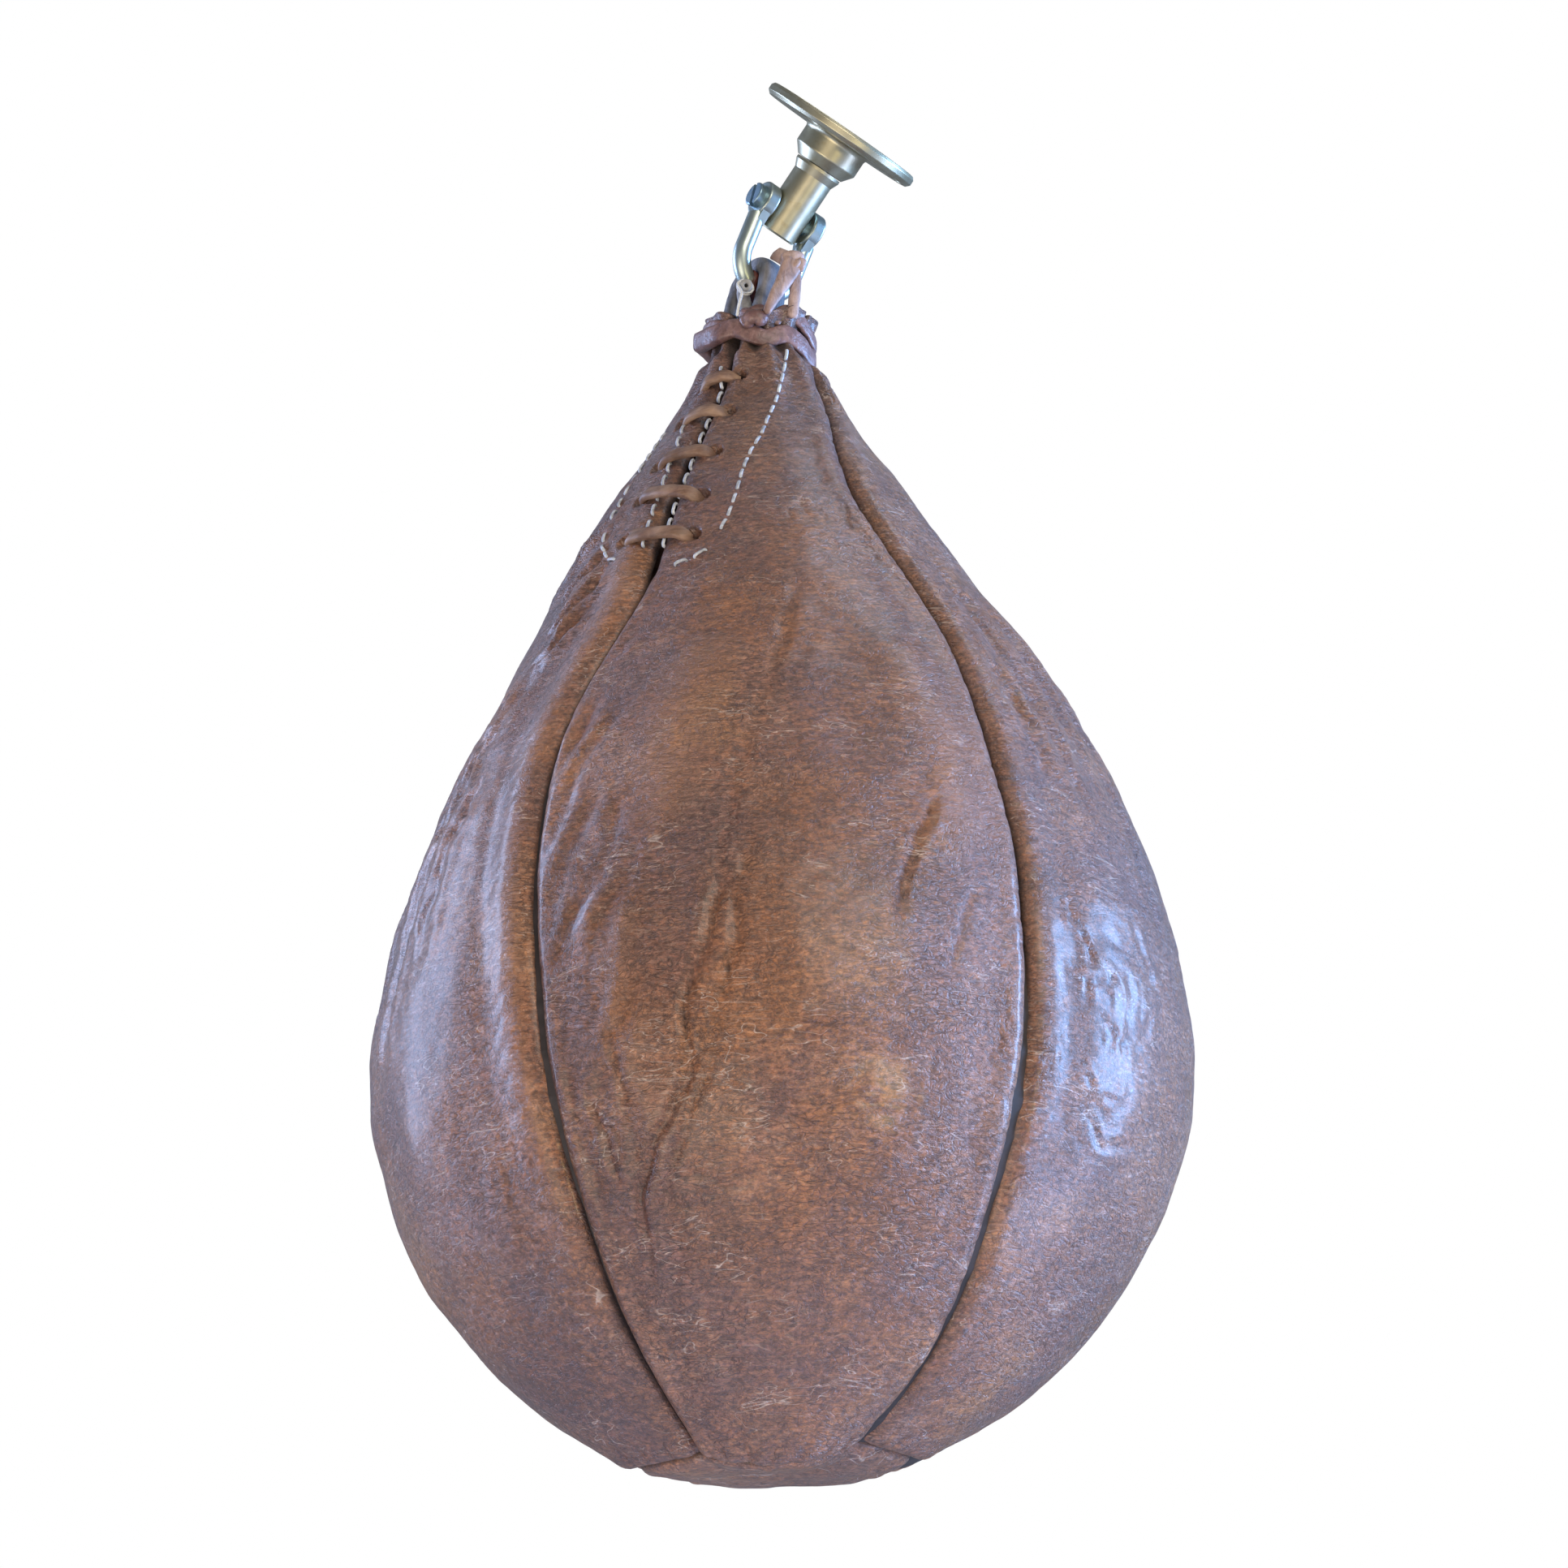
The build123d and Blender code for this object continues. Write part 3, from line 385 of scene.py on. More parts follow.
def back_relief(p3, az, z, dl, dr):
    o = 1.0 * fbm(p3, 46, 2, 90) * smoothstep(6, 24, np.minimum(dl, dr))
    rib = np.clip(np.sin(z / 1.8 + 3.0 * noise(p3, 18, 91)), 0, 1) ** 2
    d = np.minimum(dl, dr)
    roll = smoothstep(130, 90, z) * smoothstep(-200, -150, z)
    o += roll * 0.7 * bump(d, 6, 4.5)
    o -= 0.3 * rib * roll * bump(d, 5, 4.5) * np.clip(0.5 + noise(p3, 24, 92), 0, 1)
    span = az.max() - az.min()
    a_mid = (az.max() + az.min()) / 2
    for k, (f0, z0, f1, z1, amp, w) in enumerate([
            (-0.25, 60, -0.22, -30, 0.6, 3.2), (0.1, 70, 0.06, -10, 0.6, 3.4), (0.28, 40, 0.26, -60, 0.5, 3.0),
            (-0.1, -20, -0.14, -110, 0.5, 2.4), (0.2, -60, 0.12, -130, 0.4, 2.2)]):
        a0, a1 = a_mid + f0 * span, a_mid + f1 * span
        o += crease(p3, [(a0, z0), ((a0 + a1) / 2 + 1.5 * math.sin(k + a_mid), (z0 + z1) / 2), (a1, z1)], amp, w, lip=0.3,
                    warp=2.0, seed=94 + k, ends=0.3)
    return o


# height change of the lower seam round the bag: corners at the five seams, each panel's middle hangs lower
_CORNER = [(-107.0, 2.0), (-30.2, -2.3), (35.2, 1.2), (106.5, 3.4), (180.0, 3.8), (253.0, 2.0)]
_SAG = [-2.5, -5.0, -1.5, -1.0, -1.0]


def base_dz(az):
    a = (np.asarray(az, float) + 107.0) % 360.0 - 107.0
    out = np.zeros_like(a)
    for (a0, d0), (a1, d1), sag in zip(_CORNER[:-1], _CORNER[1:], _SAG):
        m = (a >= a0) & (a <= a1)
        f = (a[m] - a0) / (a1 - a0)
        out[m] = d0 + (d1 - d0) * f + sag * 4 * f * (1 - f)
    return out


SPACING = 1.15
_arc_z = np.linspace(PROFILE[:, 0].max(), PROFILE[:, 0].min(), 800)
_arc_r = prof(_arc_z)[0]
_arc = np.concatenate([[0], np.cumsum(np.hypot(np.diff(_arc_z), np.diff(_arc_r)))])


def make_panel(name, s0, s1, relief, spacing, slit_side=0):
    """One leather panel between seams s0 and s1, edges turned in, wall 1.8 mm."""
    rows = int(_arc[-1] / spacing)
    cols = int(150 / spacing)
    z1 = np.interp(np.linspace(0, _arc[-1], rows), _arc, _arc_z)
    t = np.linspace(0, 1, cols)
    u1 = t - 0.055 * np.sin(2 * math.pi * t) * 1.6             # closer rows of points beside the seams
    u1 = (u1 - u1[0]) / (u1[-1] - u1[0])
    z, u = np.meshgrid(z1, u1, indexing="ij")
    r, cx, s = prof(z)
    a0, a1 = seam_at(s0, z), seam_at(s1, z)
    in_slit = smoothstep(SLIT_END - 3, SLIT_END + 3, z)
    slit_gap = in_slit * (0.15 + 1.05 * (1 - smoothstep(116, 130, z)))
    gap0 = 0.12 + (slit_gap if slit_side < 0 else 0)
    gap1 = 0.12 + (slit_gap if slit_side > 0 else 0)
    rad = np.degrees(1 / r)
    lo, hi = a0 + gap0 * rad, a1 - gap1 * rad
    az = lo + (hi - lo) * u
    p3 = place(az, z)
    dl, dr = (az - lo) / rad, (hi - az) / rad
    k = r / 120.0
    off = 2.6 * k * (4 * u * (1 - u)) - 1.9 * k
    low = np.interp(z, _arc_z[::-1], (_arc[-1] - _arc)[::-1])
    near_base = np.exp(-(low / 26.0) ** 2)
    for d, at_slit in ((dl, slit_side < 0), (dr, slit_side > 0)):
        depth = 2.7 * (1 - 0.45 * near_base)
        soft = 0.75 * np.ones_like(z)
        if at_slit:
            depth = depth * (1 - in_slit) + 2.6 * in_slit
            soft = soft * (1 - in_slit) + 0.7 * in_slit
        off = off - depth * np.exp(-d / soft) - 1.15 * np.exp(-(d / 3.0) ** 2) * (1 - 0.7 * smoothstep(60, 110, z)) * (1 - 0.6 * near_base) + 0.15 * bump(d, 5.0, 2.2)
    off = off + relief(p3, az, z, dl, dr)
    # turned-in lower edge at the base seam
    off = off - 3.8 * np.exp(-low / 1.3) - 0.7 * np.exp(-(low / 2.6) ** 2) + 0.4 * bump(low, 5.0, 2.8)
    fold = np.abs(np.sin(np.radians(az) * 21 + 2 * noise(p3, 12, 33)))
    off = off - 0.7 * (1 - fold) ** 2 * smoothstep(16, 4, low) * smoothstep(0.5, 3, low)
    # gathers under the binding
    ga = np.sin(np.radians(az) * 13 + 1.6 * noise(p3, 30, 35))
    off = off + 0.9 * ga * smoothstep(96, 140, z) * (1 - 0.5 * smoothstep(150, 155, z))
    off = off - 3.0 * np.exp(-((z - 147.5) / 6.5) ** 4)
    # handling: shallow dents, pebbling
    off = off + 0.42 * fbm(p3, 30, 2, 36) + 0.12 * noise(p3, 4.5, 37)
    q = p3 + 2.2 * np.stack([noise(p3, 14, 44), noise(p3, 14, 45), noise(p3, 14, 46)], -1)
    net = np.abs(noise(q * np.array([0.8, 0.8, 1.2]), 9.0, 47))
    off = off - 0.34 * np.exp(-(net / 0.05) ** 2) * np.clip(0.15 + 1.7 * noise(p3, 38, 48), 0, 1)
    ridged = 1 - np.abs(noise(p3 * np.array([0.45, 0.45, 1.5]), 7.0, 38)) * 3
    off = off - 0.16 * np.clip(ridged, 0, 1) ** 3 * np.clip(0.4 + 1.5 * noise(p3, 45, 39), 0, 1)
    # lace holes
    for a_h, z_h in HOLES_R + HOLES_L:
        c = place(a_h, z_h)
        d = np.linalg.norm(p3 - c, axis=-1)
        off = off - 5.2 * (1 - smoothstep(2.0, 3.0, d)) + 0.45 * bump(d, 3.7, 0.9)
    v = place(az, z, off)
    pull = np.exp(-(low / 22.0) ** 2)
    a_r = np.radians(az)
    v[..., 0] -= 2.5 * pull * np.sin(a_r)
    v[..., 1] += 2.5 * pull * np.cos(a_r)
    v[..., 2] += pull * base_dz(az)
    # cut top edges stand up past the binding and turn out a little
    lift = smoothstep(150.5, 155.5, z)
    v[..., 2] += lift * (3.6 + 1.0 * np.sin(a_r) + 0.7 * noise(p3, 9, 43) - 4.6 * np.exp(-((az + 2.0) / 38.0) ** 2))
    v[..., 0] += lift * 1.3 * np.sin(a_r)
    v[..., 1] -= lift * 1.3 * np.cos(a_r)
    ob = mesh_object(name, v.reshape(-1, 3), grid_faces(rows, cols))
    att = ob.data.attributes.new("seam_d", "FLOAT", "POINT")
    att.data.foreach_set("value", np.clip(np.minimum(np.minimum(dl, dr), low) / 20.0, 0, 1).ravel().astype(np.float32))
    # relief: height over the plain panel surface; the leather shader paints shade where it is low
    att = ob.data.attributes.new("relief", "FLOAT", "POINT")
    base = 2.6 * k * (4 * u * (1 - u)) - 1.9 * k
    att.data.foreach_set("value", np.clip((off - base) / 6 + 0.5, 0, 1).ravel().astype(np.float32))
    m = ob.modifiers.new("wall", "SOLIDIFY")
    m.thickness, m.offset = 1.8 * MM, -1
    return ob


# ---------------------------------------------------------------------------
# materials
# ---------------------------------------------------------------------------
def new_material(name):
    m = bpy.data.materials.new(name)
    m.use_nodes = True
    nt = m.node_tree
    nt.nodes.clear()
    out = nt.nodes.new("ShaderNodeOutputMaterial")
    b = nt.nodes.new("ShaderNodeBsdfPrincipled")
    nt.links.new(b.outputs[0], out.inputs[0])
    return m, nt, b


def node(nt, kind, **values):
    n = nt.nodes.new(kind)
    for key, val in values.items():
        if key in n.inputs:
            n.inputs[key].default_value = val
        else:
            setattr(n, key, val)
    return n


def coords(nt, scale=(1, 1, 1), loc=(0, 0, 0), rot=(0, 0, 0)):
    tc = nt.nodes.new("ShaderNodeTexCoord")
    mp = nt.nodes.new("ShaderNodeMapping")
    mp.inputs["Scale"].default_value = scale
    mp.inputs["Location"].default_value = loc
    mp.inputs["Rotation"].default_value = rot
    nt.links.new(tc.outputs["Object"], mp.inputs[0])
    return mp.outputs[0]


def tex_noise(nt, vec, scale, detail=3, rough=0.55, dist=0.0):
    n = nt.nodes.new("ShaderNodeTexNoise")
    n.inputs["Scale"].default_value = scale
    n.inputs["Detail"].default_value = detail
    n.inputs["Roughness"].default_value = rough
    n.inputs["Distortion"].default_value = dist
    nt.links.new(vec, n.inputs["Vector"])
    return n.outputs["Fac"]


def ramp(nt, fac, stops):
    r = nt.nodes.new("ShaderNodeValToRGB")
    el = r.color_ramp.elements
    while len(el) < len(stops):
        el.new(0.5)
    for e, (pos, col) in zip(el, stops):
        e.position = pos
        e.color = (*col, 1) if len(col) == 3 else col
    nt.links.new(fac, r.inputs[0])
    return r.outputs[0]


def mix(nt, a, b, fac, mode="MIX"):
    m = nt.nodes.new("ShaderNodeMix")
    m.data_type = "RGBA"
    m.blend_type = mode
    for sock, val in ((m.inputs["Factor"], fac), (m.inputs["A"], a), (m.inputs["B"], b)):
        if isinstance(val, (int, float)):
            sock.default_value = val
        elif isinstance(val, tuple):
            sock.default_value = (*val, 1) if len(val) == 3 else val
        else:
            nt.links.new(val, sock)
    return m.outputs["Result"]


def math_node(nt, op, a, b=0.0, clamp=False):
    m = nt.nodes.new("ShaderNodeMath")
    m.operation = op
    m.use_clamp = clamp
    for sock, val in zip(m.inputs, (a, b)):
        if isinstance(val, (int, float)):
            sock.default_value = val
        else:
            nt.links.new(val, sock)
    return m.outputs[0]


def bump_node(nt, height, dist, strength=1.0, normal_in=None):
    b = nt.nodes.new("ShaderNodeBump")
    b.inputs["Strength"].default_value = strength
    b.inputs["Distance"].default_value = dist
    nt.links.new(height, b.inputs["Height"])
    if normal_in is not None:
        nt.links.new(normal_in, b.inputs["Normal"])
    return b.outputs[0]


def contour_lines(nt, vec, scale, half, detail=2, dist=0.6, at=0.5):
    """Thin wandering lines where a noise passes one level."""
    f = tex_noise(nt, vec, scale, detail, 0.5, dist)
    return ramp(nt, f, [(at - half, (0, 0, 0)), (at, (1, 1, 1)), (at + half, (0, 0, 0))])


def cells(nt, vec, scale, warp_scale, warp_amount):
    """Distance to the edge of irregular cells, vector warped."""
    vor = nt.nodes.new("ShaderNodeTexVoronoi")
    vor.feature = "DISTANCE_TO_EDGE"
    vor.inputs["Scale"].default_value = scale
    warp = nt.nodes.new("ShaderNodeVectorMath")
    warp.operation = "ADD"
    nz = nt.nodes.new("ShaderNodeTexNoise")
    nz.inputs["Scale"].default_value = warp_scale
    nt.links.new(vec, nz.inputs["Vector"])
    sm = nt.nodes.new("ShaderNodeVectorMath")
    sm.operation = "SCALE"
    sm.inputs["Scale"].default_value = warp_amount
    nt.links.new(nz.outputs["Color"], sm.inputs[0])
    nt.links.new(vec, warp.inputs[0])
    nt.links.new(sm.outputs[0], warp.inputs[1])
    nt.links.new(warp.outputs[0], vor.inputs["Vector"])
    return vor.outputs["Distance"]


def bag_leather(name, shift):
    m, nt, b = new_material(name)
    v = coords(nt, loc=shift)
    vh = coords(nt, scale=(1, 1, 2.6), loc=shift)          # features that lie across
    vv = coords(nt, scale=(2.2, 2.2, 0.7), loc=shift)       # features that run up and down
    big = tex_noise(nt, v, 13, 4, 0.6, 0.4)
    col = ramp(nt, big, [(0.30, (0.140, 0.056, 0.034)), (0.44, (0.200, 0.079, 0.034)), (0.54, (0.250, 0.098, 0.037)),
                         (0.66, (0.315, 0.140, 0.054))])
    purple = ramp(nt, tex_noise(nt, vv, 17, 3, 0.6, 0.6), [(0.42, (0, 0, 0)), (0.62, (1, 1, 1))])
    col = mix(nt, col, (0.150, 0.076, 0.072), math_node(nt, "MULTIPLY", purple, 0.45))
    tan = ramp(nt, tex_noise(nt, coords(nt, scale=(1, 1, 1.5), loc=shift), 48, 6, 0.75, 0.5), [(0.50, (0, 0, 0)), (0.66, (1, 1, 1))])
    col = mix(nt, col, (0.38, 0.190, 0.100), math_node(nt, "MULTIPLY", tan, 0.35))
    # painted shade and sheen: the colour is darkened and tinted lilac-blue towards the neck, standing in for the dim
    # top and its lilac sheen
    tc = nt.nodes.new("ShaderNodeTexCoord")
    sp = nt.nodes.new("ShaderNodeSeparateXYZ")
    nt.links.new(tc.outputs["Object"], sp.inputs[0])
    up = ramp(nt, math_node(nt, "MULTIPLY_ADD", sp.outputs["Z"], 4.0), [(0.0, (0, 0, 0)), (1.0, (1, 1, 1))])
    for l in list(nt.links):
        if l.to_node.type == "MATH" and l.from_node == sp:
            l.to_node.inputs[2].default_value = 1.05
    up = ramp(nt, up, [(0.28, (0, 0, 0)), (0.62, (1, 1, 1))])
    # painted shade and sheen towards the neck
    col = mix(nt, col, (0.70, 0.84, 1.30), math_node(nt, "MULTIPLY", up, 0.9), "MULTIPLY")
    # fine pores and mottling
    pore = tex_noise(nt, v, 900, 2, 0.5)
    col = mix(nt, col, ramp(nt, pore, [(0.36, (0.50, 0.48, 0.48)), (0.60, (1.22, 1.22, 1.22))]), 0.6, "MULTIPLY")
    fleck = tex_noise(nt, coords(nt, scale=(1, 1, 1.5), loc=shift), 430, 4, 0.75, 0.3)
    col = mix(nt, col, ramp(nt, fleck, [(0.38, (0.46, 0.43, 0.43)), (0.50, (1, 1, 1)), (0.63, (1.60, 1.56, 1.50))]), 0.85, "MULTIPLY")
    # light scuffs across the leather
    sc = tex_noise(nt, vh, 190, 4, 0.7, 1.6)
    scuff = ramp(nt, sc, [(0.57, (0, 0, 0)), (0.64, (1, 1, 1))])
    patch = ramp(nt, tex_noise(nt, v, 24, 2, 0.5), [(0.42, (0, 0, 0)), (0.62, (1, 1, 1))])
    scuff = math_node(nt, "MULTIPLY", scuff, patch)
    col = mix(nt, col, (0.44, 0.29, 0.22), math_node(nt, "MULTIPLY", scuff, 0.55))
    # hair scratches at two slants
    s1 = contour_lines(nt, coords(nt, scale=(1, 1, 4), loc=shift, rot=(0.2, 0.45, 0)), 52, 0.0065)
    s2 = contour_lines(nt, coords(nt, scale=(1, 1, 5), loc=shift, rot=(0.1, -0.65, 0)), 44, 0.0058, at=0.47)
    scratch = math_node(nt, "MULTIPLY", math_node(nt, "MAXIMUM", s1, s2),
                        ramp(nt, tex_noise(nt, v, 55, 2, 0.5, 0.3), [(0.50, (0, 0, 0)), (0.58, (1, 1, 1))]))
    col = mix(nt, col, (0.55, 0.42, 0.36), math_node(nt, "MULTIPLY", scratch, 1.0))
    # crackle: larger cells with a finer net between
    d1 = cells(nt, vh, 190, 90, 0.022)
    d2 = cells(nt, v, 520, 240, 0.006)
    crack = ramp(nt, d1, [(0.0, (1, 1, 1)), (0.085, (0, 0, 0))])
    crack = math_node(nt, "MULTIPLY", crack, ramp(nt, tex_noise(nt, v, 30, 3, 0.6), [(0.40, (0, 0, 0)), (0.56, (1, 1, 1))]))
    fine = ramp(nt, d2, [(0.0, (1, 1, 1)), (0.14, (0, 0, 0))])
    fine = math_node(nt, "MULTIPLY", fine, ramp(nt, tex_noise(nt, v, 70, 3, 0.6), [(0.42, (0, 0, 0)), (0.60, (1, 1, 1))]))
    cr = contour_lines(nt, coords(nt, scale=(1, 1, 2.4), loc=shift, rot=(0, 0.18, 0)), 62, 0.012, 4, 1.2, 0.53)
    cr = math_node(nt, "MULTIPLY", cr, ramp(nt, tex_noise(nt, v, 28, 2, 0.5, 0.4), [(0.44, (0, 0, 0)), (0.58, (1, 1, 1))]))
    lines = math_node(nt, "MAXIMUM", math_node(nt, "MULTIPLY", crack, 0.7), cr)
    col = mix(nt, col, (0.085, 0.040, 0.034), math_node(nt, "MULTIPLY", lines, 0.55))
    col = mix(nt, col, (0.095, 0.048, 0.040), math_node(nt, "MULTIPLY", fine, 0.5))
    # painted shade in the grooves, seams and lace holes, where the relief is low; rub on the crests
    at = nt.nodes.new("ShaderNodeAttribute")
    at.attribute_name = "relief"
    painted_groove_shade = ramp(nt, at.outputs["Fac"], [(0.04, (1, 1, 1)), (0.30, (0, 0, 0))])
    # painted shade: near-black where the relief is low
    col = mix(nt, col, (0.022, 0.009, 0.007), math_node(nt, "MULTIPLY", painted_groove_shade, 0.94))
    crest = ramp(nt, at.outputs["Fac"], [(0.56, (0, 0, 0)), (0.80, (1, 1, 1))])
    col = mix(nt, col, (0.37, 0.185, 0.105), math_node(nt, "MULTIPLY", crest, 0.4))
    nt.links.new(col, b.inputs["Base Color"])
    rough = ramp(nt, tex_noise(nt, v, 60, 4, 0.65), [(0.3, (0.28, 0.28, 0.28)), (0.7, (0.44, 0.44, 0.44))])
    rough = mix(nt, rough, (0.60, 0.60, 0.60), math_node(nt, "MULTIPLY", scuff, 0.8))
    rough = mix(nt, rough, (0.70, 0.70, 0.70), math_node(nt, "MULTIPLY", lines, 0.8))
    rough = mix(nt, rough, (1.0, 1.0, 1.0), painted_groove_shade)
    nt.links.new(rough, b.inputs["Roughness"])
    b.inputs["Specular IOR Level"].default_value = 0.80
    b.inputs["Coat Weight"].default_value = 0.30
    b.inputs["Coat Roughness"].default_value = 0.25
    h1 = tex_noise(nt, vh, 300, 5, 0.72, 0.8)
    n0 = bump_node(nt, tex_noise(nt, vh, 110, 4, 0.6, 0.6), 0.0011, 0.8)
    n1 = bump_node(nt, h1, 0.0010, 1.0, n0)
    n2 = bump_node(nt, math_node(nt, "SUBTRACT", 1.0, math_node(nt, "MAXIMUM", lines, math_node(nt, "MULTIPLY", fine, 0.5))), 0.00038, 0.9, n1)
    n3 = bump_node(nt, pore, 0.0002, 0.9, n2)
    nt.links.new(n3, b.inputs["Normal"])
    return m


def strap_leather(name, dark, light, grain_dir=(1, 1, 1), rough=0.6, shift=(0, 0, 0)):
    m, nt, b = new_material(name)
    v = coords(nt, loc=shift)
    vg = coords(nt, scale=grain_dir, loc=shift)
    col = ramp(nt, tex_noise(nt, v, 90, 4, 0.65, 0.5), [(0.32, dark), (0.66, light)])
    fib = tex_noise(nt, vg, 420, 4, 0.7, 0.8)
    col = mix(nt, col, ramp(nt, fib, [(0.35, (0.45, 0.45, 0.45)), (0.62, (1.2, 1.2, 1.2))]), 0.7, "MULTIPLY")
    nt.links.new(col, b.inputs["Base Color"])
    b.inputs["Roughness"].default_value = rough
    b.inputs["Specular IOR Level"].default_value = 0.45
    n1 = bump_node(nt, fib, 0.0004, 0.8)
    n2 = bump_node(nt, tex_noise(nt, v, 150, 3, 0.6), 0.0006, 0.5, n1)
    nt.links.new(n2, b.inputs["Normal"])
    return m


def metal(name, base, tint, rough_lo, rough_hi, stain=(0.2, 0.15, 0.08), stain_amount=0.2, shift=(0, 0, 0)):
    m, nt, b = new_material(name)
    v = coords(nt, loc=shift)
    col = ramp(nt, tex_noise(nt, v, 90, 3, 0.5, 0.4), [(0.34, base), (0.66, tint)])
    spot = ramp(nt, tex_noise(nt, v, 260, 4, 0.6, 0.3), [(0.56, (0, 0, 0)), (0.72, (1, 1, 1))])
    col = mix(nt, col, stain, math_node(nt, "MULTIPLY", spot, stain_amount))
    nt.links.new(col, b.inputs["Base Color"])
    b.inputs["Metallic"].default_value = 0.92
    b.inputs["Specular IOR Level"].default_value = 0.5
    rough = ramp(nt, tex_noise(nt, v, 120, 3, 0.5), [(0.3, (rough_lo,) * 3), (0.7, (rough_hi,) * 3)])
    nt.links.new(rough, b.inputs["Roughness"])
    nt.links.new(bump_node(nt, tex_noise(nt, v, 70, 2, 0.5), 0.00005, 0.25), b.inputs["Normal"])
    return m


def plain_grain(name, dark, light, scale, rough, bump_d=0.0002):
    m, nt, b = new_material(name)
    v = coords(nt)
    f = tex_noise(nt, v, scale, 4, 0.6)
    nt.links.new(ramp(nt, f, [(0.35, dark), (0.65, light)]), b.inputs["Base Color"])
    b.inputs["Roughness"].default_value = rough
    nt.links.new(bump_node(nt, f, bump_d, 0.8), b.inputs["Normal"])
    return m


M_PANEL = {n: bag_leather("leather_" + n, s) for n, s in
           (("front", (0.0, 0.0, 0.0)), ("left", (0.31, 0.12, 0.2)), ("right", (0.07, 0.44, 0.1)),
            ("back_right", (0.5, 0.2, 0.35)), ("back_left", (0.9, 0.7, 0.15)), ("disc", (0.15, 0.9, 0.6)))}
M_STRAP = strap_leather("strap_leather", (0.075, 0.075, 0.085), (0.225, 0.215, 0.225), (1, 1, 0.25), rough=0.55)
M_OX = strap_leather("oxblood_leather", (0.075, 0.018, 0.014), (0.17, 0.050, 0.036), rough=0.42)
M_THONG = strap_leather("thong_leather", (0.120, 0.060, 0.056), (0.255, 0.155, 0.145), (1, 1, 1), rough=0.36)
M_LACE = strap_leather("lace_leather", (0.150, 0.080, 0.055), (0.330, 0.215, 0.150), (0.15, 0.15, 1), rough=0.5)
M_FACING = strap_leather("facing_leather", (0.050, 0.026, 0.020), (0.115, 0.062, 0.045), rough=0.7)
M_THREAD = plain_grain("waxed_thread", (0.24, 0.25, 0.28), (0.60, 0.63, 0.70), 500, 0.5, 0.0001)
M_CORD = plain_grain("tie_cord", (0.50, 0.50, 0.50), (0.80, 0.80, 0.78), 2200, 0.7, 0.0001)
M_TUBE = plain_grain("tube_rubber", (0.20, 0.20, 0.20), (0.36, 0.36, 0.37), 400, 0.6)
M_BLADDER = plain_grain("bladder_rubber", (0.02, 0.015, 0.014), (0.04, 0.03, 0.03), 200, 0.6)
M_BRASS = metal("brass", (0.36, 0.33, 0.22), (0.46, 0.43, 0.31), 0.34, 0.42, stain=(0.26, 0.18, 0.07), stain_amount=0.3)
M_STEEL = metal("zinc_steel", (0.32, 0.37, 0.34), (0.44, 0.51, 0.49), 0.32, 0.42, stain=(0.22, 0.21, 0.13), stain_amount=0.25)
M_PIN = metal("pin_steel", (0.20, 0.32, 0.40), (0.32, 0.44, 0.52), 0.34, 0.44, stain=(0.10, 0.11, 0.11), stain_amount=0.3)
M_BEARING = metal("bearing_steel", (0.50, 0.50, 0.49), (0.64, 0.64, 0.62), 0.20, 0.32, stain=(0.12, 0.09, 0.05), stain_amount=0.4)


def dress(ob, mat):
    ob.data.materials.clear()
    ob.data.materials.append(mat)
    for slot in ob.material_slots:
        slot.material = mat


for n, mat in (("swivel_flange", M_BRASS), ("spindle", M_BRASS), ("spindle_nut", M_BRASS), ("ball_cage", M_BRASS),
               ("lower_race", M_BEARING), ("upper_race", M_BEARING), ("bearing_balls", M_BEARING), ("nut_lock_pin", M_BEARING),
               ("shackle", M_STEEL), ("shackle_pin", M_PIN), ("wear_sleeve", M_OX), ("bladder", M_BLADDER)):
    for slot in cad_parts[n].material_slots:
        slot.material = mat

# ---------------------------------------------------------------------------
# panels
# ---------------------------------------------------------------------------
LEFT_360 = (LEFT[0], LEFT[1] + 360)
for piece, s0, s1, relief, coarse, slit, mat in (
        ("panel_front", LEFT, RIGHT, front_relief, 1.0, -1, "front"),
        ("panel_right", RIGHT, BACK_R, right_relief, 1.1, 0, "right"),
        ("panel_back_right", BACK_R, BACK, back_relief, 1.3, 0, "back_right"),
        ("panel_back_left", BACK, BACK_L, back_relief, 1.3, 0, "back_left"),
        ("panel_left", (BACK_L[0], BACK_L[1] - 360), LEFT, left_relief, 1.1, 1, "left")):
    ob = make_panel(piece + "_leather", s0, s1, relief, SPACING * coarse, slit)
    dress(ob, M_PANEL[mat])
    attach(ob, "bag")
    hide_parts(piece)


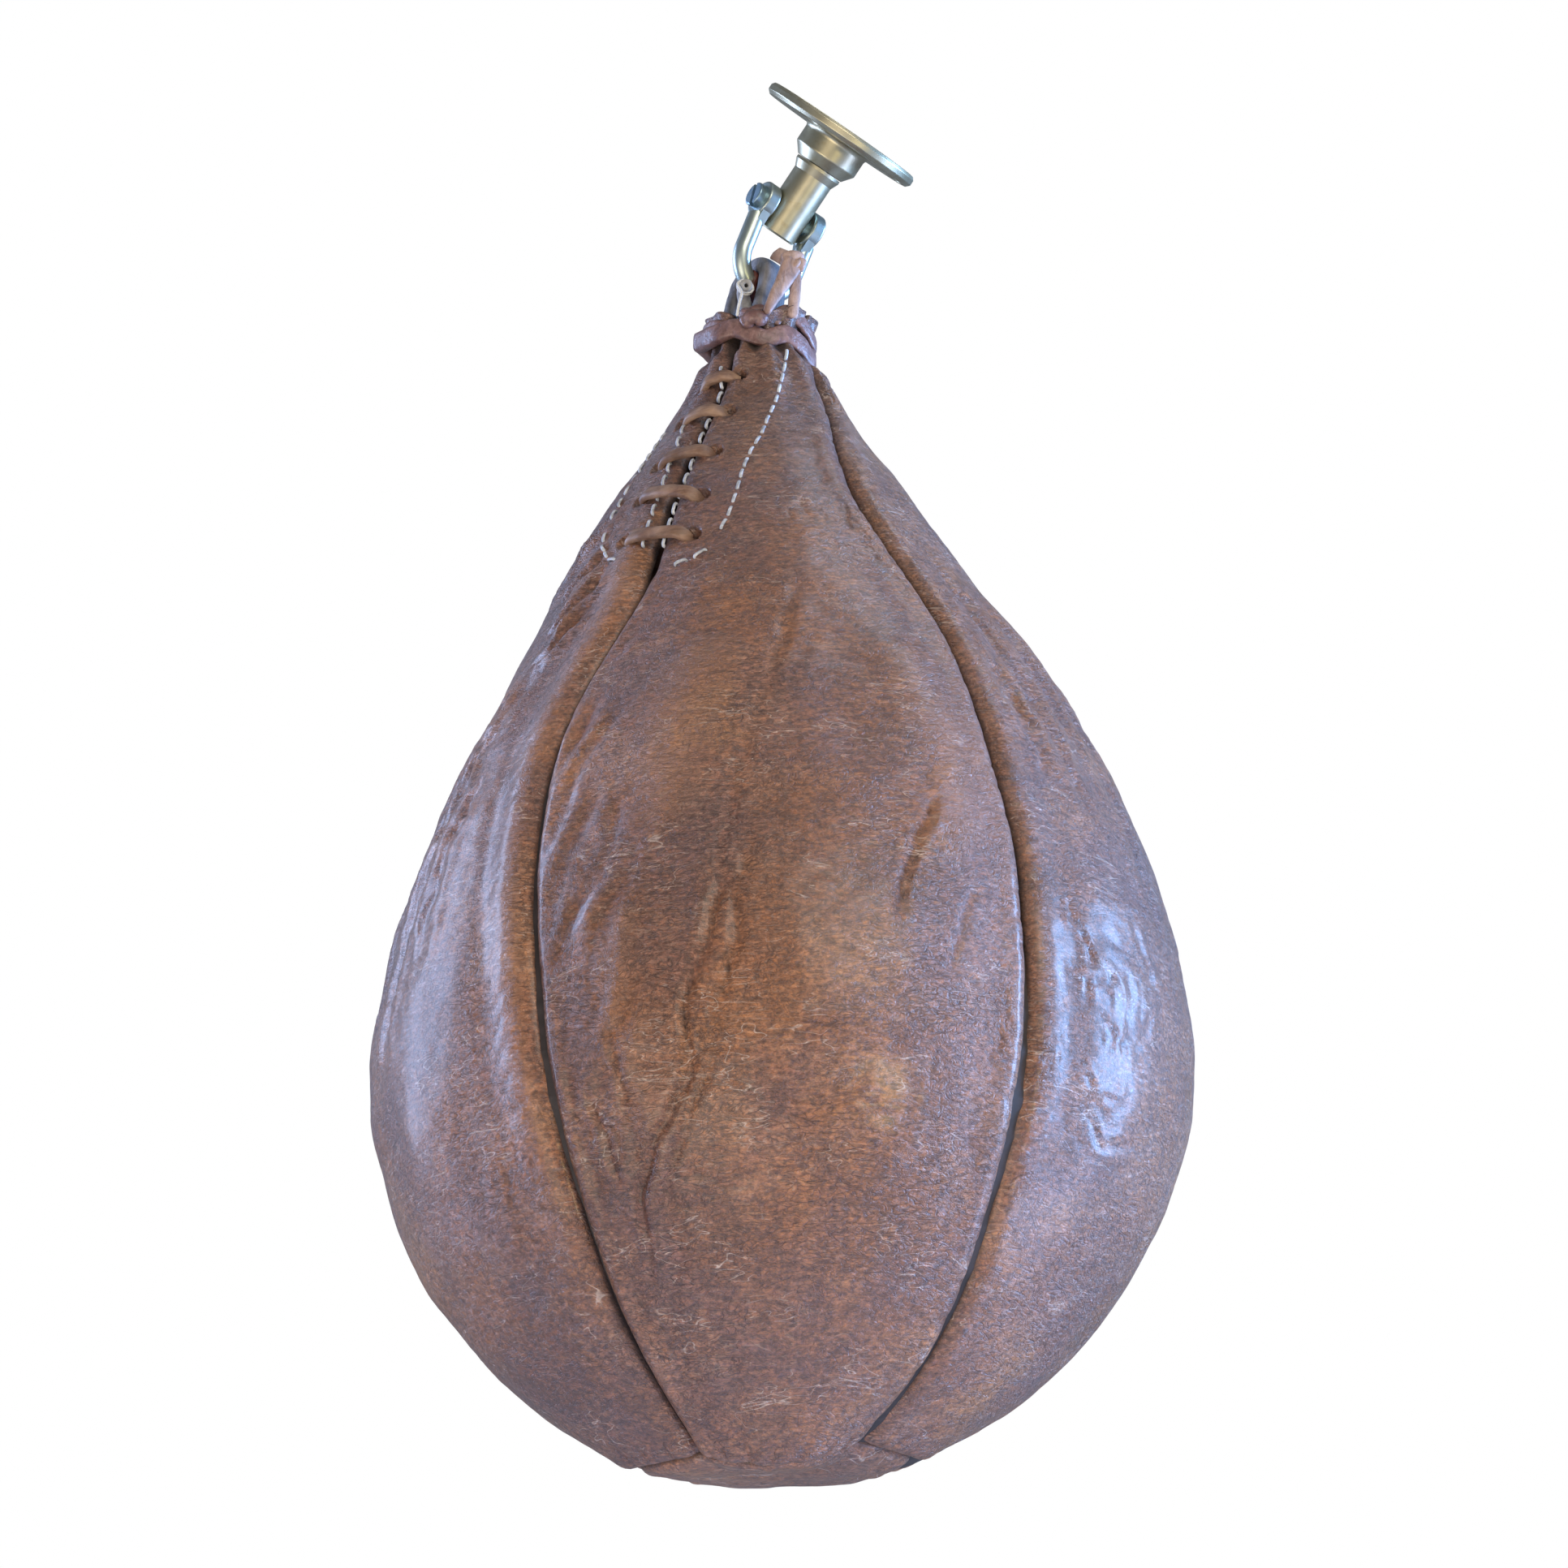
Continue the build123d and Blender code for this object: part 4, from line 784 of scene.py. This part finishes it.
# base disc: puffed, pulled in by the panels' lower ends
def make_disc():
    rings, segs = ((40, 200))
    R, DEEP = 39.1, 1.8
    verts, rel = [], []
    rr = np.linspace(0.02, 1, rings)
    th = np.linspace(0, 2 * math.pi, segs, endpoint=False)
    for f in rr:
        x, y = f * R * np.sin(th), -f * R * np.cos(th)
        p = np.stack([x, y, np.zeros(segs)], -1)
        edge = (1 - f) * R
        zz = -210.0 - DEEP * (1 - f ** 4) + 3.0 * math.exp(-edge / 1.1) + 0.7 * math.exp(-(edge / 2.4) ** 2)
        dent = 0.5 * noise(p, 16, 101) + 0.25 * noise(p, 7, 102)
        pull = 0.6 * np.abs(np.sin(th * 9 + 2 * noise(p, 14, 103))) * smoothstep(14, 3, edge) * smoothstep(0.5, 3, edge)
        z = zz + dent + pull + base_dz(np.degrees(th)) * f ** 2.2
        verts.append(np.stack([DATUM[0] - 2.5 + x, DATUM[1] + y, DATUM[2] + z], -1))
        # relief falls towards 0 at the rim, where the leather shader paints shade
        rel.append(np.clip(0.5 - 0.5 * math.exp(-edge / 1.4) + 0 * x, 0, 1))
    verts = np.vstack(verts)
    faces = [tuple(f) for f in grid_faces(rings, segs, 0, close=True)]
    faces.append(tuple(range(segs)))
    ob = mesh_object("base_disc_leather", verts, faces)
    att = ob.data.attributes.new("relief", "FLOAT", "POINT")
    att.data.foreach_set("value", np.concatenate(rel).astype(np.float32))
    fix_normals(ob)
    m = ob.modifiers.new("wall", "SOLIDIFY")
    m.thickness, m.offset = 1.8 * MM, -1
    return ob


disc = make_disc()
dress(disc, M_PANEL["disc"])
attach(disc, "bag")
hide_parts("base_disc")


# ---------------------------------------------------------------------------
# slit: facings, tongue, lacing, stitches
# ---------------------------------------------------------------------------
def strip(name, edge_fn, z0, z1, off, thick, mat, node_name):
    """Curved strip under the skin between two azimuth functions."""
    zs = np.linspace(z0, z1, 60)
    cols = 9
    verts = []
    for layer in (0, 1):
        for z in zs:
            a, b = edge_fn(z)
            az = np.linspace(a, b, cols)
            p = place(az, np.full(cols, z))
            verts.append(place(az, np.full(cols, z), off - thick * layer + 0.25 * noise(p, 7, 111)))
    v = np.vstack(verts)
    n = len(zs) * cols
    f = [tuple(q) for q in grid_faces(len(zs), cols)] + [tuple(q)[::-1] for q in grid_faces(len(zs), cols, n)]
    for r in range(len(zs) - 1):
        for c in (0, cols - 1):
            a, b = r * cols + c, (r + 1) * cols + c
            f.append((a, b, b + n, a + n) if c else (a, a + n, b + n, b))
    for r in (0, len(zs) - 1):
        for c in range(cols - 1):
            a, b = r * cols + c, r * cols + c + 1
            f.append((a, b, b + n, a + n) if r == 0 else (a, a + n, b + n, b))
    ob = mesh_object(name, v, f)
    fix_normals(ob)
    dress(ob, mat)
    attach(ob, "bag")
    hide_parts(node_name)
    return ob


def facing_edges(side):
    def edges(z):
        r = float(prof(z)[0])
        a = float(seam_at(LEFT, z))
        near, far = a + side * math.degrees(1.9 / r), a + side * math.degrees(min(19.0 / r, 0.75))
        return (near, far) if side > 0 else (far, near)
    return edges


strip("facing_right_leather", facing_edges(1), 45, 139, -3.4, 1.5, M_FACING, "facing_right")
strip("facing_left_leather", facing_edges(-1), 45, 139, -3.4, 1.5, M_FACING, "facing_left")


def tongue_edges(z):
    half = math.degrees(min(9.0 / float(prof(z)[0]), 0.35))
    return float(seam_at(LEFT, z)) - half, float(seam_at(LEFT, z)) + half


strip("lace_tongue_leather", tongue_edges, 44, 126, -9.8, 1.4, M_FACING, "lace_tongue")

lace_parts = []
for k, ((ar, zr), (al, zl)) in enumerate(zip(HOLES_R, HOLES_L)):
    r = float(prof(zr)[0])
    span = math.radians(ar - al) * r
    hump = 1.9 + 0.9 * (r * (1 - math.cos(math.radians((ar - al) / 2))))
    ar = ar - math.degrees(1.5 / r)
    al = al + math.degrees(0.8 / r)
    pts = [place(al - 0.2, zl, -6.5), place(al + 0.5, zl, -1.0), place(al + 2.6 * 60 / r, zl + (zr - zl) * 0.12, 1.3)]
    for f in (0.35, 0.5, 0.65):
        pts.append(place(al + (ar - al) * f, zl + (zr - zl) * f, 1.5 + 0.35 * math.sin(math.pi * f) + 0.15 * math.sin(k * 3 + f * 9)))
    pts += [place(ar - 2.6 * 60 / r, zr + (zl - zr) * 0.12, 1.3), place(ar - 0.5, zr, -1.0), place(ar + 0.2, zr, -6.5)]
    path = catmull(pts, 0.8)
    up = normal((al + ar) / 2, (zl + zr) / 2)
    wv = 4.7 + 0.35 * np.sin(np.linspace(0, 7, len(path)) + k)
    v, f, s = tube_data(path, wv, 2.5, up, 18, True, 3.2)
    lace_parts.append((v + 0.10 * noise(v, 2.2, 121)[:, None] * up, f))
    if k < 4:                                              # the run behind the facings, up to the next hole
        al2, zl2 = HOLES_L[k + 1]
        inner = catmull([place(ar + 0.2, zr, -5.6), place(ar - 3, zr + 4, -8.0), place((ar + al2) / 2, (zr + zl2) / 2, -8.2),
                         place(al2 + 3, zl2 - 4, -8.0), place(al2 - 0.2, zl2, -5.6)], 1.5)
        v, f, s = tube_data(inner, 4.4, 2.2, up, 12, True, 2.4)
        lace_parts.append((v, f))
v, f = join_data(lace_parts)
lace = mesh_object("lacing_thong", v, f)
fix_normals(lace)
dress(lace, M_LACE)
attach(lace, "bag")
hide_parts("lacing")

STITCHES = [
    [(23.8, 141.2), (12, 124.2), (7.3, 115.2), (2.5, 106.5), (-0.5, 98.5), (-4.5, 90.2), (-6.8, 82), (-8.2, 71.5), (-10.2, 61.2), (-13.2, 52)],
    [(-15.0, 47.5), (-18, 44.8), (-24.5, 42)],
    [(-36, 49.5), (-44.2, 53), (-51, 61.8), (-54, 72)],
    [(-36.5, 135.5), (-32.8 + 6, 122.5), (-27.0, 99.2), (-26, 85.5), (-26.6, 66), (-27, 47)],
    [(-46.5, 117), (-38.5, 98), (-35.5, 83.5), (-34, 69.5), (-33, 48.5)],
    [(-55, 74), (-57, 84), (-60, 94), (-64, 104), (-70, 113), (-78, 122), (-86, 132)],
]
stitch_parts, dimple_parts = [], []
rs = np.random.RandomState(8)
for c, chain in enumerate(STITCHES):
    az_z = np.array(chain, float)
    dense = [az_z[0]]
    for a, b in zip(az_z[:-1], az_z[1:]):
        for t in np.linspace(0, 1, 24)[1:]:
            dense.append(a + (b - a) * t)
    dense = np.array(dense)
    p = place(dense[:, 0], dense[:, 1])
    s = np.concatenate([[0], np.cumsum(np.linalg.norm(np.diff(p, axis=0), axis=1))])
    pitch, length = (6.4, 4.2) if c not in (3, 4) else (7.6, 4.8)
    at = 0.5
    while at + length < s[-1]:
        a0, a1 = at + rs.uniform(-0.3, 0.3), at + length + rs.uniform(-0.4, 0.3)
        pts = []
        for f, off in ((0, -1.3), (0.08, -0.15), (0.5, 0.1), (0.92, -0.15), (1, -1.3)):
            q = a0 + (a1 - a0) * f
            pts.append(place(np.interp(q, s, dense[:, 0]), np.interp(q, s, dense[:, 1]), off + 0.5))
        path = catmull(pts, 0.45)
        mid = (a0 + a1) / 2
        v, f, _ = tube_data(path, 1.1, 0.85, normal(np.interp(mid, s, dense[:, 0]), np.interp(mid, s, dense[:, 1])), 8, True, 2.0)
        stitch_parts.append((v, f))
        at += pitch
v, f = join_data(stitch_parts)
st = mesh_object("facing_stitch_thread", v, f)
dress(st, M_THREAD)
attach(st, "bag")
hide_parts("facing_stitches")

# ---------------------------------------------------------------------------
# neck: binding, knot and tail, hanger loop, valve tube
# ---------------------------------------------------------------------------
def at(x, y, z):
    return DATUM + np.array([x, y, z], float)


def ring_pt(deg, r, z):
    """Point round the neck: deg from the front, + to the right, at radius r."""
    return at(-7.3 + r * math.sin(math.radians(deg)), -r * math.cos(math.radians(deg)), z)


def band(table, width, thick, rounded=True, closed=False):
    pts = [ring_pt(*row) for row in table]
    if closed:
        pts = pts + pts[:1]
    path = catmull(pts, 0.8)
    out = path - at(-7.3, 0, 0)
    out[:, 2] = 0
    out /= np.linalg.norm(out, axis=1, keepdims=True)
    x = np.linspace(0, 1, len(path))
    w = np.interp(x, np.linspace(0, 1, len(width)), width)
    h = np.interp(x, np.linspace(0, 1, len(thick)), thick)
    v, f, _ = tube_data(path, w, h, out, 22, rounded, 3.0)
    return v + 0.22 * noise(v, 4, 131)[:, None] * 1.0 + 0.10 * noise(v, 1.8, 132)[:, None], f


bind_parts = [
    band([(-90, 20.0, 153.0), (-55, 18.2, 150.0), (-30, 17.3, 150.2), (-12, 16.8, 147.7), (5, 16.5, 146.0), (28, 16.5, 148.3),
          (45, 16.5, 147.3), (65, 16.5, 145.2), (90, 16.6, 145.3), (135, 16.8, 147.0), (180, 17.0, 150.0), (225, 18.0, 152.5)],
         [6.8, 7.0, 6.4, 6.0, 6.4, 7.2, 7.4, 7.2, 6.6, 5.6, 5.6, 6.4], [4.8, 4.4, 3.2, 2.3, 2.0, 2.0, 2.0, 2.0, 2.4, 3.0, 3.8, 4.6],
         False, True),
    band([(12, 15.3, 152.4), (28, 15.0, 156.6), (38, 15.3, 157.2), (55, 16.0, 155.3), (72, 16.5, 152.6), (90, 16.8, 151.0),
          (135, 16.8, 151.5), (180, 17.0, 154.0), (225, 17.5, 155.5), (270, 17.6, 156.0), (300, 17.6, 154.0), (315, 17.4, 152.0)],
         [4.8, 5.8, 6.0, 5.8, 5.0, 4.4], [2.0, 2.0, 2.0, 2.4, 2.8, 2.6])]
# small lumps where the ends are drawn tight
for pts, w, h in (
        ([at(-13.0, -16.6, 149.8), at(-10.8, -18.8, 151.8), at(-8.2, -19.6, 151.8), at(-6.0, -18.6, 149.6)], 5.2, 4.2),
        ([at(-13.4, -15.6, 156.0), at(-11.0, -17.4, 154.4), at(-7.6, -17.6, 155.6), at(-4.6, -17.0, 153.4)], 3.8, 3.2)):
    path = catmull(pts, 0.5)
    v, f, _ = tube_data(path, w, h, (0.1, -0.95, 0.2), 16, True, 2.0)
    bind_parts.append((v + 0.12 * noise(v, 2, 133)[:, None], f))
v, f = join_data(bind_parts)
bind = mesh_object("neck_binding_thong", v, f)
fix_normals(bind)
dress(bind, M_THONG)
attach(bind, "bag")
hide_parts("neck_binding")

K = at(2.3, -12.4, 174.8)
tail_parts = []
for pts, w0, w1, h in (
        ([at(2.6, -15.6, 153.6), at(3.2, -14.2, 160.0), at(3.6, -12.6, 167.0), K + np.array([1.4, 0.8, 0.6])], 3.6, 4.2, 2.2),
        ([K + np.array([-2.8, -1.2, 0.6]), K + np.array([-0.6, -1.4, 1.9]), K + np.array([1.8, -0.8, 2.3]), K + np.array([4.0, 0.4, 1.5])], 4.6, 4.2, 2.6),
        ([K + np.array([0.8, 0.2, 0.2]), at(0.2, -10.6, 178.4), at(-3.4, -8.8, 181.4)], 6.6, 5.4, 1.8),
        ([K + np.array([3.4, -0.6, 2.2]), K + np.array([3.2, -0.8, -0.4]), K + np.array([2.2, -0.9, -3.2])], 3.6, 3.0, 2.2),
        ([K + np.array([1.2, -1.0, 1.6]), at(1.4, -14.8, 170.8), at(-0.8, -17.0, 164.8), at(-3.6, -19.4, 158.0), at(-5.8, -20.9, 152.2)], 7.4, 2.6, 2.3)):
    path = catmull(pts, 0.8)
    v, f, s = tube_data(path, np.linspace(w0, w1, len(path)), h, (0.25, -0.95, -0.1), 16, True, 2.5)
    tail_parts.append((v + 0.15 * noise(v, 3, 141)[:, None], f))
# knot: a loop of the thong laid over itself
for e1, e2, rad in (((0.9, -0.35, 0.25), (0.1, 0.5, 0.85), 1.9), ((0.2, 0.6, -0.8), (0.95, 0.1, 0.3), 1.8)):
    e1, e2 = np.array(e1), np.array(e2)
    e1 = e1 / np.linalg.norm(e1)
    e2 = e2 - e1 * (e1 @ e2)
    e2 /= np.linalg.norm(e2)
    th = np.radians(np.arange(0, 366, 15))
    path = K + rad * (np.cos(th)[:, None] * e1 + np.sin(th)[:, None] * e2)
    v, f, s = tube_data(path, 3.6, 2.4, np.cross(e1, e2), 14, False, 2.3)
    tail_parts.append((v, f))
v, f = join_data(tail_parts)
tail = mesh_object("thong_knot_and_tail", v, f)
fix_normals(tail)
M_TAIL = strap_leather("tail_leather", (0.23, 0.145, 0.125), (0.44, 0.315, 0.275), (1, 1, 0.3), rough=0.5)
dress(tail, M_TAIL)
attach(tail, "bag")
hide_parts("thong_tail")

AX = np.array([0.5587, -0.4205, 0.7149]); AX /= np.linalg.norm(AX)
PN = np.array([-0.7469, -0.6298, 0.2133]); PN -= AX * (PN @ AX); PN /= np.linalg.norm(PN)
CROWN = np.array([-28.5133, 16.8882, -49.9856])
SD = np.array([0, 0, -1.0]); SD -= PN * (SD @ PN); SD /= np.linalg.norm(SD)
SX = np.cross(PN, SD)


def strap_pt(x, y, w=0.0):
    """x across the loop, y down from the rod, w along the rod."""
    return CROWN + SX * x + SD * y + PN * w


ri = 5.05 + 2.8
pts = [strap_pt(-7.6, 25), strap_pt(-8.1, 17), strap_pt(-8.2, 10), strap_pt(-8.0, 4)]
for a in range(-75, 80, 15):
    pts.append(strap_pt(ri * math.sin(math.radians(a)), -ri * math.cos(math.radians(a))))
pts += [strap_pt(8.0, 4), strap_pt(8.3, 10), strap_pt(8.4, 17), strap_pt(7.6, 25)]
path = catmull(pts, 0.7)
rel = path - CROWN
outw = rel - np.outer(rel @ PN, PN) - np.outer(np.clip(rel @ SD, 0, 99), SD)
outw /= np.linalg.norm(outw, axis=1, keepdims=True)
depth = np.clip(rel @ SD, 0, 30)
v, f, s = tube_data(path, 9.6 + 0.08 * depth, 5.6 - 0.03 * depth, outw, 30, True, 3.2)
v = v + (0.16 * noise(v, 2.6, 151) + 0.3 * noise(v, 7, 152))[:, None] * 0.7
loop = mesh_object("hanger_loop_leather", v, f)
fix_normals(loop)
dress(loop, M_STRAP)
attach(loop, "bag")
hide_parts("hanger_loop")

tp = [at(-1.6, -0.4, 108.5), strap_pt(0.6, 44, 0.5), strap_pt(1.2, 24, 0.8), strap_pt(1.4, 14.0, 1.6), strap_pt(2.2, 9.6, 5.0),
      strap_pt(4.2, 7.8, 7.9), strap_pt(6.2, 6.8, 8.6) + np.array([0.0, -0.6, -0.2]), strap_pt(6.2, 6.8, 8.5) + np.array([0.1, -2.6, -1.0])]
path = catmull(tp, 0.6)
sides = 18
t = np.gradient(path, axis=0)
t /= np.linalg.norm(t, axis=1, keepdims=True)
u = np.cross(t, (1.0, 0.2, 0.1))
u /= np.linalg.norm(u, axis=1, keepdims=True)
w = np.cross(t, u)
ang = np.linspace(0, 2 * math.pi, sides, endpoint=False)
rings = []
for rad in (2.1, 0.65):
    rings.append((path[:, None] + rad * (u[:, None] * np.cos(ang)[None, :, None] + w[:, None] * np.sin(ang)[None, :, None])).reshape(-1, 3))
n = len(path) * sides
f = [tuple(q) for q in grid_faces(len(path), sides, 0, True)] + [tuple(q)[::-1] for q in grid_faces(len(path), sides, n, True)]
for row in (0, len(path) - 1):
    for c in range(sides):
        a, b = row * sides + c, row * sides + (c + 1) % sides
        f.append((a, b, b + n, a + n))
vt = mesh_object("valve_tube_rubber", np.vstack(rings), f)
fix_normals(vt)
dress(vt, M_TUBE)
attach(vt, "bag")
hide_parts("valve_tube")

tie_parts = []
e, d = path[-5], t[-5]
u0, w0 = u[-5], w[-5]
for shift in (-0.5, 0.45):
    th = np.radians(np.arange(0, 366, 15))
    c = e + d * shift + 2.5 * (np.cos(th)[:, None] * u0 + np.sin(th)[:, None] * w0)
    v, ff, s = tube_data(c, 0.95, 0.95, d, 8, False, 2.0)
    tie_parts.append((v, ff))
endp = catmull([e + np.array([-1.2, -0.6, 2.2]), e + np.array([-2.4, -1.8, 0.0]), at(-13.6, -16.2, 162.4), at(-14.4, -18.0, 157.2), at(-15.0, -19.4, 152.2)], 0.5)
v, ff, s = tube_data(endp, 1.0, 1.0, (0.3, -0.9, 0.2), 8, True, 2.0)
tie_parts.append((v, ff))
v, ff = join_data(tie_parts)
tie = mesh_object("tube_tie_cord", v, ff)
fix_normals(tie)
dress(tie, M_CORD)
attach(tie, "bag")
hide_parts("tube_tie")

# ---------------------------------------------------------------------------
# floor, world, lights, camera
# ---------------------------------------------------------------------------
floor = mesh_object("floor", np.array([(-6000, -6000, -1900), (6000, -6000, -1900), (6000, 6000, -1900), (-6000, 6000, -1900)]), [(0, 1, 2, 3)], False)
fm, fnt, fb = new_material("floor_pale")
fb.inputs["Base Color"].default_value = (0.82, 0.82, 0.84, 1)
fb.inputs["Roughness"].default_value = 0.9
dress(floor, fm)

scene = bpy.context.scene
world = bpy.data.worlds.new("studio")
scene.world = world
world.use_nodes = True
wn = world.node_tree
wn.nodes.clear()
wout = wn.nodes.new("ShaderNodeOutputWorld")
soft = wn.nodes.new("ShaderNodeBackground")
soft.inputs[0].default_value = (0.72, 0.82, 1.0, 1)
soft.inputs[1].default_value = 0.25
white = wn.nodes.new("ShaderNodeBackground")
white.inputs[0].default_value = (1, 1, 1, 1)
white.inputs[1].default_value = 1.0
lp = wn.nodes.new("ShaderNodeLightPath")
mx = wn.nodes.new("ShaderNodeMixShader")
wn.links.new(lp.outputs["Is Camera Ray"], mx.inputs[0])
wn.links.new(soft.outputs[0], mx.inputs[1])
wn.links.new(white.outputs[0], mx.inputs[2])
wn.links.new(mx.outputs[0], wout.inputs[0])

CENTRE = Vector((DATUM[0] * MM, DATUM[1] * MM, (DATUM[2] - 60) * MM))


def area(name, direction, dist, size, power, colour):
    light = bpy.data.lights.new(name, "AREA")
    light.shape = "RECTANGLE"
    light.size, light.size_y = size
    light.energy = power
    light.color = colour
    ob = bpy.data.objects.new(name, light)
    scene.collection.objects.link(ob)
    d = Vector(direction).normalized()
    ob.location = CENTRE + d * dist
    ob.rotation_mode = "QUATERNION"
    ob.rotation_quaternion = (-d).to_track_quat("-Z", "Y")
    return ob


area("window_left", (-0.87, 0.32, 0.26), 1.7, (0.6, 1.4), 34, (0.48, 0.62, 1.0))
area("window_right", (0.92, 0.12, 0.12), 1.7, (0.55, 1.1), 88, (0.27, 0.51, 1.0))
area("window_right_low", (0.84, 0.06, -0.50), 1.7, (0.6, 0.6), 12, (0.46, 0.58, 1.0))
area("ceiling", (0.34, -0.06, 0.94), 1.8, (0.6, 0.6), 5.0, (0.86, 0.91, 1.0))
area("key_front", (0.36, -0.84, 0.36), 2.0, (1.0, 1.0), 23, (1.0, 0.90, 0.76))
area("fill_low", (-0.42, -0.76, -0.50), 1.8, (1.4, 1.0), 19, (1.0, 0.84, 0.64))
area("warm_spot", (0.50, -0.78, -0.36), 1.45, (0.16, 0.12), 3.2, (1.0, 0.82, 0.40))

scene.view_settings.view_transform = "Standard"
scene.view_settings.look = "None"

cam_data = bpy.data.cameras.new("camera")
cam = bpy.data.objects.new("camera", cam_data)
scene.collection.objects.link(cam)
scene.camera = cam
cam_data.lens = 74.53
cam_data.sensor_width = 36.0
cam_data.clip_start, cam_data.clip_end = 0.05, 50
eps = math.radians(20.6)
fwd = Vector((0, math.cos(eps), math.sin(eps)))
upv = Vector((0, -math.sin(eps), math.cos(eps)))
right = fwd.cross(upv)
rot = Matrix((right, upv, -fwd)).transposed()
cam.location = Vector((DATUM[0] * MM, (DATUM[1] - 936.1) * MM, (DATUM[2] - 351.8) * MM))
cam.rotation_mode = "QUATERNION"
cam.rotation_quaternion = rot.to_quaternion()
